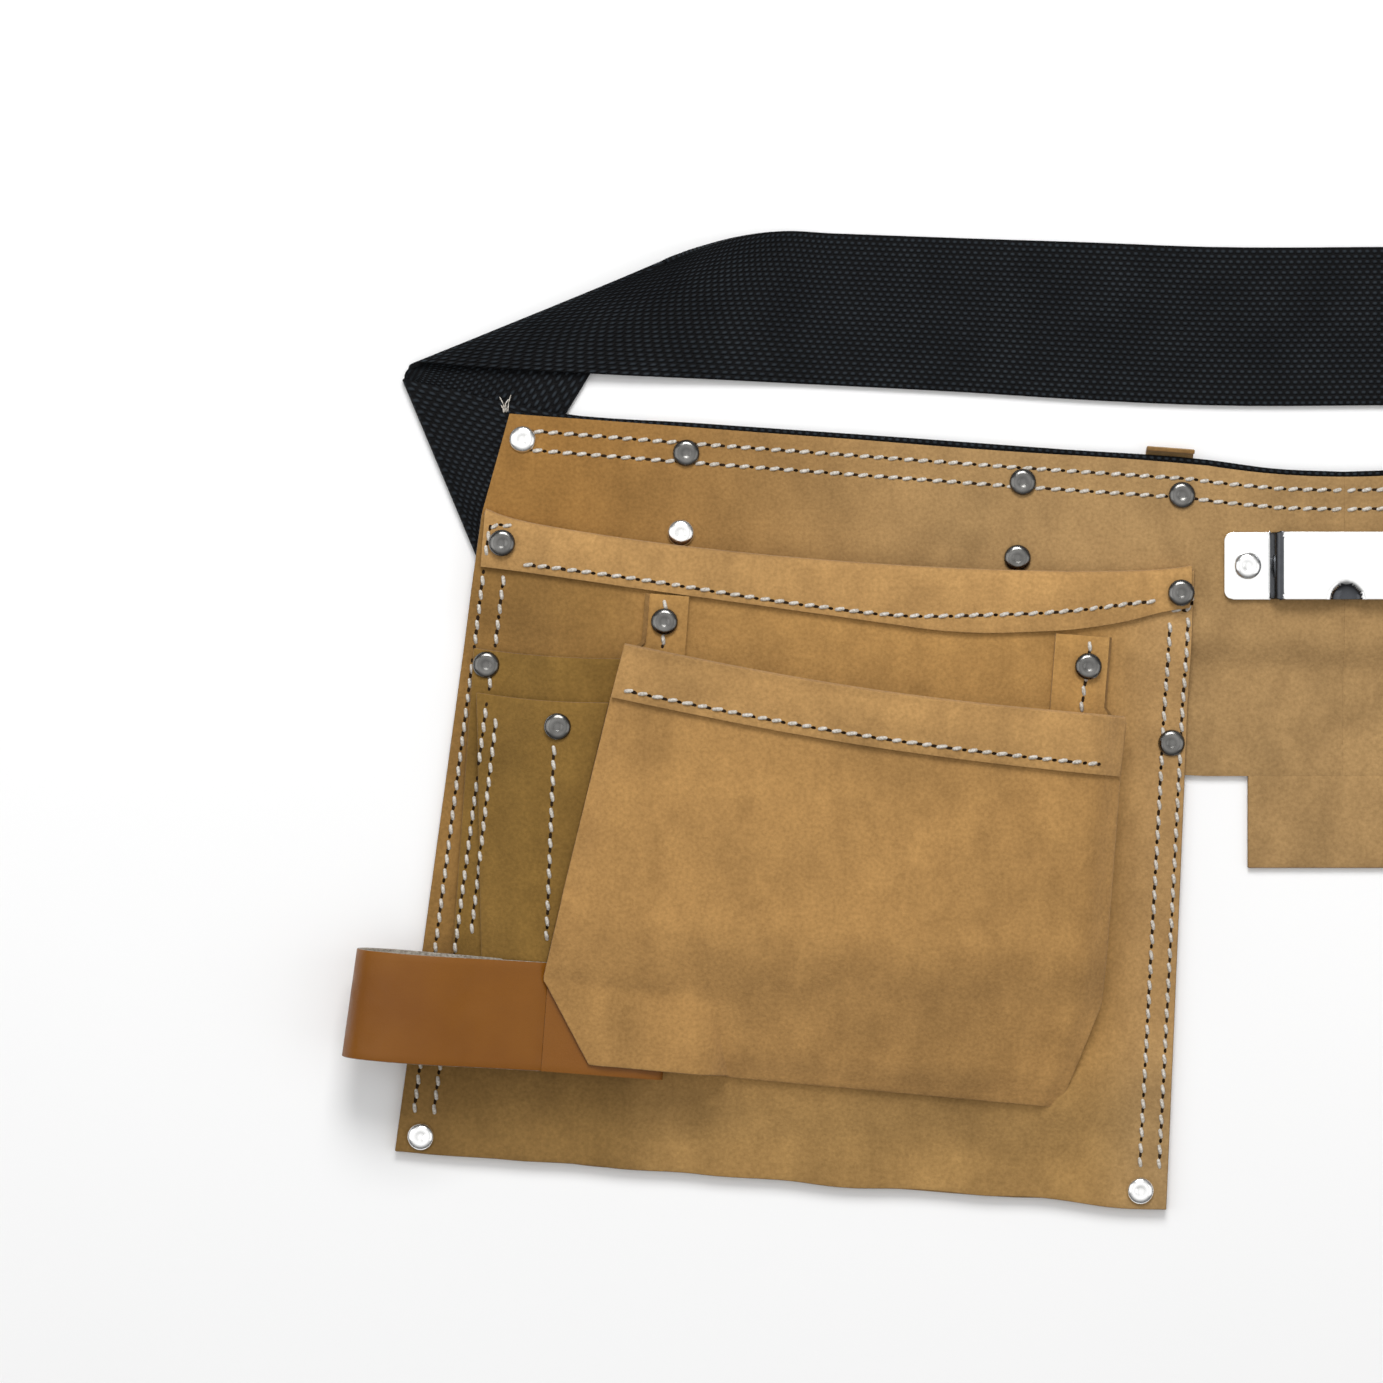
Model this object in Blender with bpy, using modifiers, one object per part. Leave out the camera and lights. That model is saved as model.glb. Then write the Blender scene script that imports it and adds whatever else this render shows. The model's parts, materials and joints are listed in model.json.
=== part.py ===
"""A carpenter's leather tool belt, lying flat on a table.

Two suede pouches hang from one leather blank. A black webbing belt runs behind them, folds over at
both ends and closes at the back with a side-release buckle. The belt folds along a line beside each
pouch, the buckle slides apart, its two arms squeeze in, and the loops and the middle flap lift.

Lengths in the functions are millimetres: MM turns them into the scene's metres.
"""

import math

import bmesh
import bpy
from mathutils import Matrix, Vector

MM = 0.001

# Driving dimensions, in millimetres
LEATHER = 1.8
WEBBING = 1.5
WEBBING_WIDTH = 50.0
STEEL = 1.2
GAP = 0.35
CURVED_GAP = 0.9
STITCHED_EDGE = 10.0

FOLD_X = 43.0
FOLD_SLIT = GAP
BAND_Z = 3.7
BAND_BOTTOM = -52.0
BAND_STEP = 12.0
SEAM_STEP, SEAM_DROP = 22.0, 4.0
WEBBING_Z = 1.8

POUCH_X, POUCH_Y = 155.7, 90.0
POUCH_TILT = 4.3
MOUTH_V = -32.4
MOUTH_DIP = 8.3
BOTTOM_V = -235.0
OUTER_SIDE_U, OUTER_SIDE_FLARE = -114.3, -12.4
INNER_SIDE_U, INNER_SIDE_FLARE = 111.2, 6.6
MAIN_Z = 10.6
MOUTH_RISE = 2.0
STEP_V = -97.6

OUTER_POCKET_DEPTH = 14.0
GUSSET = 1.2
TAB_OUTER, TAB_INNER = 15.0, 2.5
WALL_INSET, WALL_DROP = 0.9, 1.1
LOOP_WIDTH = 34.0
LOOP_V = -188.0
LOOP_HINGE_U = -84.5
LOOP_HINGE_Z = 18.9
TONGUE_HALF = 30.0
TONGUE_Y = (-45.4, -16.0)
PLATE_Y, PLATE_HALF = 50.0, 10.6
DISH_R, DISH_DEPTH = 5.7, 0.8

RIVET_HEAD_R = 4.4
RIVET_SHANK_R = 1.3
RIVET_HOLE_R = 1.8
RIVET_SEAT = 0.5

BUCKLE_X, BUCKLE_Y = 125.0, 129.5
BUCKLE_TURN = 2.5
ARM_PIVOT_X, ARM_PIVOT_Y = -11.0, 18.5
ARM_Z = (3.2, 8.0)

SUEDE = ("suede", (0.44, 0.27, 0.10), 0.95, 0.0)
SMOOTH_LEATHER = ("smooth_leather", (0.42, 0.17, 0.05), 0.45, 0.0)
BLACK_WEBBING = ("black_webbing", (0.012, 0.014, 0.018), 0.80, 0.0)
NICKEL = ("nickel", (0.75, 0.74, 0.72), 0.22, 1.0)
BLACK_PLASTIC = ("black_plastic", (0.015, 0.015, 0.016), 0.40, 0.0)


def clear_scene():
    for thing in list(bpy.data.objects):
        bpy.data.objects.remove(thing, do_unlink=True)


def collection(name):
    made = bpy.data.collections.new(name)
    bpy.context.scene.collection.children.link(made)
    return made


def material(spec):
    name, colour, roughness, metallic = spec
    found = bpy.data.materials.get(name)
    if found:
        return found
    made = bpy.data.materials.new(name)
    made.use_nodes = True
    shader = made.node_tree.nodes["Principled BSDF"]
    shader.inputs["Base Color"].default_value = (*colour, 1.0)
    shader.inputs["Roughness"].default_value = roughness
    shader.inputs["Metallic"].default_value = metallic
    made.diffuse_color = (*colour, 1.0)
    return made


def empty(name, location, turn=0.0):
    made = bpy.data.objects.new(name, None)
    made.location = Vector(location) * MM
    made.rotation_euler.z = math.radians(turn)
    PARTS.objects.link(made)
    return made


def hang(thing, body):
    """Parents a piece modelled in world coordinates to an empty that has only been moved."""
    thing.parent = body
    thing.matrix_parent_inverse = Matrix.Translation(-body.location)


def place(name, mesh_builder, spec, parent=None, origin=(0.0, 0.0, 0.0)):
    """Makes the named object from a bmesh in millimetres, with its origin at the given point."""
    mesh_builder.transform(Matrix.Translation(-Vector(origin)))
    mesh_builder.transform(Matrix.Scale(MM, 4))
    mesh = bpy.data.meshes.new(name)
    mesh_builder.to_mesh(mesh)
    mesh_builder.free()
    mesh.materials.append(material(spec))
    made = bpy.data.objects.new(name, mesh)
    made.location = Vector(origin) * MM
    made.parent = parent
    PARTS.objects.link(made)
    return made


def smooth(t):
    t = min(max(t, 0.0), 1.0)
    return t * t * (3.0 - 2.0 * t)


def blend(a, b, t):
    return a + (b - a) * t


def along(polyline, t):
    """The point at t on a list of (t, point)."""
    for (t0, a), (t1, b) in zip(polyline, polyline[1:]):
        if t <= t1:
            return tuple(blend(p, q, (t - t0) / (t1 - t0)) for p, q in zip(a, b))
    return polyline[-1][1]


def grid(rows, side=1):
    """An open surface through rows of (x, y, z) points, with its normals up and mirrored for side -1."""
    surface = bmesh.new()
    made = [[surface.verts.new((side * x, y, z)) for x, y, z in row] for row in rows]
    for upper, lower in zip(made, made[1:]):
        for a, b, c, d in zip(upper, lower, lower[1:], upper[1:]):
            surface.faces.new((a, b, c, d) if side > 0 else (d, c, b, a))
    return surface


def solidify(thing, thickness, offset=1.0):
    shell = thing.modifiers.new("thickness", "SOLIDIFY")
    shell.thickness = thickness * MM
    shell.offset = offset


def punch(thing, cutter):
    cut = thing.modifiers.new("cut", "BOOLEAN")
    cut.operation = "DIFFERENCE"
    cut.object = cutter


def shelve(tool):
    """Moves a cutting or joining tool out of the part's own collection."""
    PARTS.objects.unlink(tool)
    CUTTERS.objects.link(tool)
    tool.hide_render = True
    tool.display_type = "WIRE"


def box(centre, size):
    made = bmesh.new()
    bmesh.ops.create_cube(made, size=1.0)
    bmesh.ops.scale(made, vec=size, verts=made.verts)
    bmesh.ops.translate(made, vec=centre, verts=made.verts)
    return made


# The shape of each layer of a pouch, as the height of its lower surface at (u, v).
# u runs towards the middle of the belt and v up the pouch; the pouch's top edge is v = 0.


def back_height(u, v):
    return BAND_Z * smooth((v - BAND_BOTTOM + BAND_STEP) / BAND_STEP)


def side_edges(v):
    t = (MOUTH_V - v) / (MOUTH_V - BOTTOM_V)
    return OUTER_SIDE_U + OUTER_SIDE_FLARE * t, INNER_SIDE_U + INNER_SIDE_FLARE * t


def main_height(u, v):
    left, right = side_edges(v)
    inside = min(u - left, right - u) - STITCHED_EDGE
    rise = smooth(inside / 26.0) * smooth((v - BOTTOM_V - STITCHED_EDGE) / 34.0)
    seam = BAND_Z * smooth((v - BAND_BOTTOM + SEAM_STEP + SEAM_DROP) / SEAM_STEP) + LEATHER + GAP
    return blend(seam, MAIN_Z + MOUTH_RISE * smooth((v + 110.0) / 60.0), rise)


def top_of(height, u, v, thickness=LEATHER):
    """The upper face of a sheet whose lower face is height(u, v), allowing for its slope."""
    step = 0.5
    slope_u = (height(u + step, v) - height(u - step, v)) / (2 * step)
    slope_v = (height(u, v + step) - height(u, v - step)) / (2 * step)
    return height(u, v) + thickness * math.sqrt(1 + slope_u**2 + slope_v**2)


def tool_back_height(u, v):
    return top_of(main_height, u, v) + CURVED_GAP + 0.5 * smooth((v + 110.0) / 20.0)


def tool_front_height(u, v):
    return top_of(tool_back_height, u, v) + CURVED_GAP + 1.5 * smooth((v + 165.0) / 60.0)


def mouth_v(u):
    middle = max(0.0, 1.0 - (u / 112.0) ** 2)
    return MOUTH_V - MOUTH_DIP * middle**0.6


def fractions(count):
    return [i / count for i in range(count + 1)]


def back_panel(name, side, frame, cutter):
    """The pouch's part of the leather blank, as far as the fold line beside the pouch."""
    tilt = math.radians(POUCH_TILT)
    rows = []
    levels = (0.0, -20.0, -40.0, -52.0, -55.0, -58.0, -61.0, -64.0, -80.0, STEP_V + 0.2)
    for v in levels + (STEP_V - 0.2, -140.0, -190.0, BOTTOM_V):
        left, right = side_edges(v)
        if v > MOUTH_V:
            left = blend(-107.9, OUTER_SIDE_U, v / MOUTH_V)
        if v > STEP_V:
            to_fold = POUCH_X - FOLD_X - FOLD_SLIT
            right = (to_fold - v * math.sin(tilt)) / math.cos(tilt)
        rows.append([(u, v, back_height(u, v)) for u in (blend(left, right, t) for t in fractions(4))])
    made = place(name, grid(rows, side), SUEDE, frame)
    solidify(made, LEATHER)
    punch(made, cutter)
    return made


def main_pocket(name, side, frame, cutter):
    """The full-width pocket front, stitched down both sides and along the bottom."""
    rows = []
    across = (0.0, 0.045, 0.08, 0.12, 0.16, 0.21, 0.36, 0.5, 0.64, 0.79, 0.84, 0.88, 0.92, 0.955, 1.0)
    for t in (0.0, 0.06, 0.12, 0.17, 0.3, 0.5, 0.7, 0.79, 0.84, 0.88, 0.92, 0.95, 1.0):
        row = []
        for s in across:
            u = blend(*side_edges(blend(MOUTH_V, BOTTOM_V, t)), s)
            v = blend(mouth_v(u), BOTTOM_V, t)
            row.append((u, v, main_height(u, v)))
        rows.append(row)
    made = place(name, grid(rows, side), SUEDE, frame)
    solidify(made, LEATHER)
    punch(made, cutter)
    return made


def tool_pocket(name, side, frame, outline, height):
    """One of the two narrow tool pockets between the pouch's outer seam and the outer pocket."""
    (left_top, left_bottom), (right_top, right_bottom), (top, bottom) = outline
    rows = []
    for t in fractions(6):
        v = blend(top, bottom, t)
        edges = blend(left_top, left_bottom, t), blend(right_top, right_bottom, t)
        rows.append([(u, v, height(u, v)) for u in (blend(*edges, s) for s in fractions(8))])
    made = place(name, grid(rows, side), SUEDE, frame)
    solidify(made, LEATHER)
    return made


OUTER_LEFT = [(0.0, (-66.0, -71.6)), (0.13, (-69.0, -88.0)), (0.8, (-83.6, -176.0)), (1.0, (-67.3, -201.8))]
OUTER_RIGHT = [(0.0, (91.3, -82.6)), (0.13, (90.7, -101.0)), (0.8, (90.6, -171.0)), (1.0, (80.7, -204.3))]


def outer_lift(s, t):
    """How far the outer pocket stands off the main pocket: deep at its mouth, closed at its bottom seam."""
    closed = 1.0 - smooth((t - 0.62) / 0.38)
    crown = 0.78 + 0.22 * math.sin(math.pi * s)
    return CURVED_GAP + OUTER_POCKET_DEPTH * crown * closed


def outer_point(s, t):
    left, right = along(OUTER_LEFT, t), along(OUTER_RIGHT, t)
    u, v = blend(left[0], right[0], s), blend(left[1], right[1], s)
    v -= 3.0 * math.sin(math.pi * s) * (1.0 - t)
    over_loop = (LOOP_HINGE_Z + GAP) * (1.0 - smooth((u + 34.0) / 22.0)) * smooth((-152.0 - v) / 12.0)
    return u, v, max(top_of(main_height, u, v) + outer_lift(s, t), over_loop)


def outer_pocket(name, side, frame):
    across = (0.0, 0.04, 0.1, 0.2, 0.3, 0.45, 0.6, 0.75, 0.86, 0.94, 1.0)
    down = (0.0, 0.13, 0.3, 0.5, 0.65, 0.74, 0.8, 0.86, 0.92, 0.96, 1.0)
    rows = [[outer_point(s, t) for s in across] for t in down]
    made = place(name, grid(rows, side), SUEDE, frame)
    solidify(made, LEATHER)
    return made


def gusset(name, side, frame, edge, inwards, top_v, cutter):
    """The leather strip between the main pocket and one side of the outer pocket: a flange and a wall."""
    rows = []
    for t in (0.0, 0.2, 0.4, 0.6, 0.74):
        s = 0.0 if inwards > 0 else 1.0
        u, v, face = outer_point(s, t)
        row = []
        for x in (u + inwards * TAB_OUTER, u + inwards * TAB_INNER):
            row.append((x, v, top_of(main_height, x, v) + CURVED_GAP))
        row.append((u + inwards * WALL_INSET, v, face - WALL_DROP))
        rows.append(row if inwards < 0 else row[::-1])
    flange = slice(1, 3) if inwards > 0 else slice(0, 2)
    surface = grid(rows, side)
    surface.verts.ensure_lookup_table()
    corners = surface.verts[flange]
    added = []
    for x, _, _ in rows[0][flange]:
        added.append(surface.verts.new((side * x, top_v, top_of(main_height, x, top_v) + CURVED_GAP)))
    loop = (added[0], corners[0], corners[1], added[1])
    surface.faces.new(loop if side > 0 else loop[::-1])
    made = place(name, surface, SUEDE, frame)
    solidify(made, GUSSET)
    punch(made, cutter)


def loop_band(name, side, frame, profile, origin):
    """A smooth leather strap that follows a profile of (u, z) points across its width."""
    edges = (LOOP_V + LOOP_WIDTH / 2, LOOP_V - LOOP_WIDTH / 2)
    rows = [[(u, v, z) for u, z in profile] for v in edges]
    made = place(name, grid(rows, side), SMOOTH_LEATHER, frame, (side * origin[0], origin[1], origin[2]))
    solidify(made, 2.0, 0.0)
    return made


def hammer_loop(side, name, frame):
    """The loop in two lengths that meet at its living hinge: the stitched anchor and the free loop."""
    low, high = LOOP_HINGE_Z - 4.6, LOOP_HINGE_Z - 1.2
    hinge = (LOOP_HINGE_U, LOOP_V, LOOP_HINGE_Z)
    free = [(LOOP_HINGE_U - GAP, low), (-100.0, low), (-118.0, low - 3.5), (-134.0, low - 5.0)]
    free += [(-140.5, low - 2.0), (-142.5, low + 3.5), (-140.0, low + 9.5), (-133.0, low + 13.0)]
    free += [(-118.0, low + 13.5), (-102.0, low + 8.5), (LOOP_HINGE_U - GAP, high)]
    anchor = [(LOOP_HINGE_U + GAP, low), (-64.0, low), (-48.0, low), (-45.2, low + 0.7)]
    anchor += [(-45.2, high - 0.7), (-48.0, high), (-64.0, high), (LOOP_HINGE_U + GAP, high)]
    loop_band(name + "_hammer_loop", side, frame, free[::-1], hinge)
    loop_band(name + "_hammer_loop_anchor", side, frame, anchor, hinge)


def rivet(name, parent, centre, bottom, top):
    """A tubular rivet: a low domed head on the leather and a shank through the layers, turned about +Z."""
    dome = [(RIVET_HEAD_R * math.sin(a), 0.5 + 1.2 * math.cos(a)) for a in (0.0, 0.5, 1.0, math.pi / 2)]
    profile = dome + [(RIVET_HEAD_R, 0.0), (RIVET_SHANK_R, 0.0)]
    profile += [(RIVET_SHANK_R, bottom - top), (0.0, bottom - top)]
    line = bmesh.new()
    verts = [line.verts.new((r, 0.0, z)) for r, z in profile]
    for a, b in zip(verts, verts[1:]):
        line.edges.new((a, b))
    line.transform(Matrix.Translation((centre[0], centre[1], top)))
    made = place(name, line, NICKEL, parent, (centre[0], centre[1], top))
    turn = made.modifiers.new("turned", "SCREW")
    turn.steps = 10
    turn.render_steps = 10
    turn.use_merge_vertices = True
    turn.merge_threshold = 0.00001
    turn.use_smooth_shade = True
    return made


def hole_cutter(name, parent, holes):
    """One helper with a hole's cylinder for each rivet: (centre, bottom, top)."""
    made = bmesh.new()
    for (x, y), bottom, top in holes:
        at = Matrix.Translation((x, y, (bottom + top) / 2))
        bmesh.ops.create_cone(
            made, cap_ends=True, segments=8, radius1=RIVET_HOLE_R, radius2=RIVET_HOLE_R,
            depth=top - bottom, matrix=at,
        )
    cutter = place(name, made, NICKEL, parent)
    PARTS.objects.unlink(cutter)
    CUTTERS.objects.link(cutter)
    cutter.hide_render = True
    cutter.display_type = "WIRE"
    return cutter


def pouch_rivets(main_top):
    """Name, (u, v), the underside of the lowest layer and the top of the highest one."""
    band_top = BAND_Z + LEATHER
    seam_top = 2 * LEATHER + GAP
    flange = CURVED_GAP + GUSSET
    return [
        ("belt_loop_rivet_1", (-51.4, -8.3), 0.0, band_top),
        ("belt_loop_rivet_2", (-51.2, -33.5), 0.0, band_top),
        ("belt_loop_rivet_3", (55.1, -9.5), 0.0, band_top),
        ("belt_loop_rivet_4", (55.2, -33.5), 0.0, band_top),
        ("mouth_rivet_1", (-107.0, -41.1), BAND_Z, BAND_Z + seam_top),
        ("mouth_rivet_2", (107.0, -40.7), BAND_Z, BAND_Z + seam_top),
        ("pocket_rivet_1", (-54.2, -62.0), main_top(-54.2, -62.0) - 2.2, main_top(-54.2, -62.0) + flange),
        ("pocket_rivet_2", (79.2, -66.0), main_top(79.2, -66.0) - 2.2, main_top(79.2, -66.0) + flange),
        ("bottom_rivet_1", (-118.8, -229.6), 0.0, seam_top),
        ("bottom_rivet_2", (109.0, -229.6), 0.0, seam_top),
    ]


def belt_loop(name, side, frame, middle_u, cutter):
    """A leather strip behind the webbing, held by a pair of rivets."""
    rows = [[(middle_u + d, v, 0.0) for d in (-13.0, 13.0)] for v in (1.0, -50.5)]
    made = place(name, grid(rows, side), SUEDE, frame)
    solidify(made, 1.4)
    punch(made, cutter)


def belt_keeper(name, side, frame):
    """The narrow leather keeper that hooks up over the top edges of the webbing and the blank."""
    path = [(-49.0, 0.7), (2.6, 0.7), (4.0, 2.0), (4.0, 5.6)]
    rows = [[(u, v, z) for u in (93.5, 108.5)] for v, z in path[::-1]]
    made = place(name, grid(rows, side), SUEDE, frame)
    solidify(made, 1.3, 0.0)


def pouch(name, side, body):
    """One whole pouch. side is -1 on the left, where u runs the same way as X, and 1 on the right."""
    flip = -side
    frame = empty(name + "_pouch_frame", (side * POUCH_X, POUCH_Y, 0.0), side * POUCH_TILT)
    hang(frame, body)

    def main_top(u, v):
        return top_of(main_height, u, v)

    rivets = pouch_rivets(main_top)
    holes = [((flip * u, v), low - 0.6, high + 0.6) for _, (u, v), low, high in rivets]
    cutter = hole_cutter(name + "_rivet_holes", frame, holes)
    for label, (u, v), low, high in rivets:
        rivet(f"{name}_{label}", frame, (flip * u, v), low, high + RIVET_SEAT)
    back_panel(name + "_back_panel", flip, frame, cutter)
    main_pocket(name + "_main_pocket", flip, frame, cutter)
    tool_pocket(
        name + "_tool_pocket_back", flip, frame,
        ((-113.5, -113.0), (-68.5, -85.5), (-75.0, -168.0)), tool_back_height,
    )
    tool_pocket(
        name + "_tool_pocket_front", flip, frame,
        ((-111.5, -103.0), (-72.0, -86.0), (-92.0, -167.0)), tool_front_height,
    )
    outer_pocket(name + "_outer_pocket", flip, frame)
    gusset(name + "_outer_gusset", flip, frame, OUTER_LEFT, 1.0, -57.0, cutter)
    gusset(name + "_inner_gusset", flip, frame, OUTER_RIGHT, -1.0, -60.0, cutter)
    hammer_loop(flip, name, frame)
    belt_loop(name + "_outer_belt_loop", flip, frame, -51.3, cutter)
    belt_loop(name + "_inner_belt_loop", flip, frame, 55.1, cutter)
    belt_keeper(name + "_belt_keeper", flip, frame)
    return cutter


# The webbing on one side, as pairs of points on its two edges. It comes from behind the blank, folds
# back under itself beyond the pouch, runs up, rolls over forwards and returns along the back.
FRONT_RUN = [
    ((-FOLD_X - FOLD_SLIT, 83.6, 2.55), (-FOLD_X - FOLD_SLIT, 33.6, 2.55)),
    ((-140.0, 90.7, 2.55), (-143.0, 40.8, 2.55)),
    ((-203.0, 95.1, 2.55), (-207.5, 45.3, 2.55)),
    ((-250.0, 98.6, 2.55), (-257.0, 49.0, 2.55)),
    ((-296.5, 109.2, 2.55), (-272.8, 53.6, 2.55)),
]
FIRST_FOLD = [((-297.3, 108.9, 1.65), (-273.6, 53.3, 1.65)), ((-296.5, 109.2, 0.75), (-272.8, 53.6, 0.75))]
RISING_RUN = [
    ((-295.4, 110.6, 0.75), (-259.4, 76.0, 0.75)),
    ((-294.4, 111.4, 0.75), (-245.9, 97.9, 0.75)),
    ((-293.4, 112.2, 0.75), (-233.0, 119.0, 0.75)),
    ((-292.6, 113.2, 0.75), (-221.0, 138.6, 0.9)),
]
ROLL = [
    ((-293.4, 114.2, 1.2), (-221.6, 142.6, 3.0)),
    ((-293.6, 114.4, 2.2), (-221.4, 144.0, 6.5)),
    ((-292.0, 113.8, 3.0), (-218.6, 143.6, 9.4)),
]
BACK_RUN = [
    ((-280.0, 112.8, 3.1), (-211.0, 147.0, 9.8)),
    ((-255.0, 111.4, 3.0), (-202.0, 150.6, 8.0)),
    ((-225.0, 110.2, 2.4), (-190.0, 154.0, 5.2)),
    ((-197.0, 109.0, 1.5), (-177.0, 155.9, 2.2)),
    ((-172.0, 107.8, 0.75), (-162.0, 155.3, 0.75)),
]


def ribbon(name, stations, side):
    """A strip of webbing through pairs of edge points, thickened about its middle."""
    made = place(name, grid(stations, side), BLACK_WEBBING)
    solidify(made, WEBBING, 0.0)
    return made


def at_buckle(x, y, z):
    """A point of the buckle's own frame in world coordinates."""
    turn = math.radians(BUCKLE_TURN)
    world_x = BUCKLE_X + x * math.cos(turn) - y * math.sin(turn)
    return world_x, BUCKLE_Y + x * math.sin(turn) + y * math.cos(turn), z


def webbing_left():
    ends = [((-118.0, 105.0, 0.75), (-116.0, 153.6, 0.75))]
    ends.append(((-FOLD_X - FOLD_SLIT, 101.0, 0.75), (-FOLD_X - FOLD_SLIT, 151.0, 0.75)))
    return ribbon("webbing_left", FRONT_RUN + FIRST_FOLD + RISING_RUN + ROLL + BACK_RUN + ends, 1)


def webbing_right():
    """The same folds mirrored, ending round the bar of the buckle's housing."""
    bar = [(50.0, 0.75), (34.6, 0.75), (33.2, 2.0), (33.2, 6.0)]
    bar += [(34.6, 7.2), (46.0, 7.2), (53.0, 3.6), (58.0, 3.2)]
    ends = []
    for x, z in bar:
        edges = [at_buckle(x, y, z) for y in (-WEBBING_WIDTH / 2, WEBBING_WIDTH / 2)]
        ends.append([(-world_x, world_y, height) for world_x, world_y, height in edges])
    return ribbon("webbing_right", FRONT_RUN + FIRST_FOLD + RISING_RUN + ROLL + BACK_RUN + ends, -1)


def flat_strip(name, spec, parent, columns, thickness):
    """A flat sheet through (x, low y, high y, z) columns."""
    rows = [[(x, high, z) for x, low, high, z in columns], [(x, low, z) for x, low, high, z in columns]]
    made = place(name, grid(rows), spec, parent)
    solidify(made, thickness)
    return made


def sagging(x, at_middle, at_fold):
    return blend(at_middle, at_fold, (x / FOLD_X) ** 2)


def centre_webbing():
    inside = FOLD_X - FOLD_SLIT
    across = [blend(-inside, inside, t) for t in fractions(6)]
    front = [(x, sagging(x, 29.8, 33.6), sagging(x, 79.8, 83.6), WEBBING_Z) for x in across]
    flat_strip("webbing_front_centre", BLACK_WEBBING, None, front, WEBBING)
    back = [(x, 101.0, 151.0, 0.0) for x in (-inside, inside)]
    flat_strip("webbing_back_centre", BLACK_WEBBING, None, back, WEBBING)


def centre_panel(cutter):
    """The middle of the leather blank, over the webbing at the top and on the table lower down."""
    inside = FOLD_X - FOLD_SLIT
    rows = []
    for y in (None, 60.0, 40.0, 29.0, 25.0, 21.0, 17.0, 0.0, TONGUE_Y[1] + FOLD_SLIT):
        row = []
        for x in (blend(-inside, inside, t) for t in fractions(8)):
            level = sagging(x, 78.4, 81.2) if y is None else y
            row.append((x, level, BAND_Z * smooth((level - 17.0) / 12.0)))
        rows.append(row)
    made = place("centre_panel", grid(rows), SUEDE)
    solidify(made, LEATHER)
    punch(made, cutter)


def centre_tongue():
    low, high = TONGUE_Y
    high -= FOLD_SLIT
    rows = [[(x, y, 0.0) for x in (-TONGUE_HALF, 0.0, TONGUE_HALF)] for y in (high, (low + high) / 2, low)]
    made = place("centre_tongue", grid(rows), SUEDE, None, (0.0, TONGUE_Y[1], LEATHER))
    solidify(made, LEATHER)


def lens(radius, depth, centre):
    """A closed round tool with a flat top and a bowl of the given radius and depth below its centre."""
    levels = [(1.0, 1.0), (1.0, 0.0), (0.87, -0.5 * depth), (0.5, -0.87 * depth)]
    bowl = bmesh.new()
    rings = []
    for part, z in levels:
        ring = []
        for k in range(16):
            a = math.tau * k / 16
            x, y = part * radius * math.cos(a), part * radius * math.sin(a)
            ring.append(bowl.verts.new((centre[0] + x, centre[1] + y, centre[2] + z)))
        rings.append(ring)
    lowest = bowl.verts.new((centre[0], centre[1], centre[2] - depth))
    bowl.faces.new(rings[0])
    for upper, lower in zip(rings, rings[1:]):
        for a, b, c, d in zip(upper, lower, lower[1:] + lower[:1], upper[1:] + upper[:1]):
            bowl.faces.new((a, b, c, d))
    for a, b in zip(rings[-1], rings[-1][1:] + rings[-1][:1]):
        bowl.faces.new((a, lowest, b))
    return bowl


def clip_plate(cutter):
    """The pressed steel bridge that a tape measure's clip hooks over, with a dish in its lower edge."""
    low = BAND_Z + LEATHER + GAP
    high = low + 4.0
    path = [(-38.0, low), (-34.0, low), (-23.5, low), (-20.5, high)]
    path += [(20.5, high), (23.5, low), (34.0, low), (38.0, low)]
    rows = []
    for y in (PLATE_HALF, 7.6, -7.6, -PLATE_HALF):
        corner = 2.6 if abs(y) > 9.0 else 0.0
        ends = (path[0][0] + corner, path[-1][0] - corner)
        xs = [ends[0]] + [x for x, _ in path[1:-1]] + [ends[1]]
        rows.append([(x, PLATE_Y + y, z) for x, (_, z) in zip(xs, path)])
    made = place("clip_plate", grid(rows), NICKEL)
    solidify(made, STEEL)
    tool = place("plate_dish", lens(DISH_R, DISH_DEPTH, (0.0, PLATE_Y - PLATE_HALF, high + STEEL)), NICKEL)
    shelve(tool)
    punch(made, tool)
    punch(made, cutter)


def plate_rivets():
    band_top = BAND_Z + LEATHER
    top = band_top + GAP + STEEL
    places = [(-30.7, PLATE_Y), (30.7, PLATE_Y)]
    cutter = hole_cutter("plate_rivet_holes", None, [(at, BAND_Z - 0.6, top + 0.6) for at in places])
    for number, at in enumerate(places, 1):
        rivet(f"plate_rivet_{number}", None, at, BAND_Z, top + RIVET_SEAT)
    return cutter


def block(name, spec, parent, centre, size, cuts=(), joins=()):
    """A moulded block joined with others and cut by others."""
    made = place(name, box(centre, size), spec, parent)
    for kind, extra in (("UNION", joins), ("DIFFERENCE", cuts)):
        for number, (at, dims) in enumerate(extra):
            tool = place(f"{name}_{kind.lower()}_{number}", box(at, dims), spec, parent)
            shelve(tool)
            step = made.modifiers.new(f"{kind.lower()} {number}", "BOOLEAN")
            step.operation = kind
            step.object = tool


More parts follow.
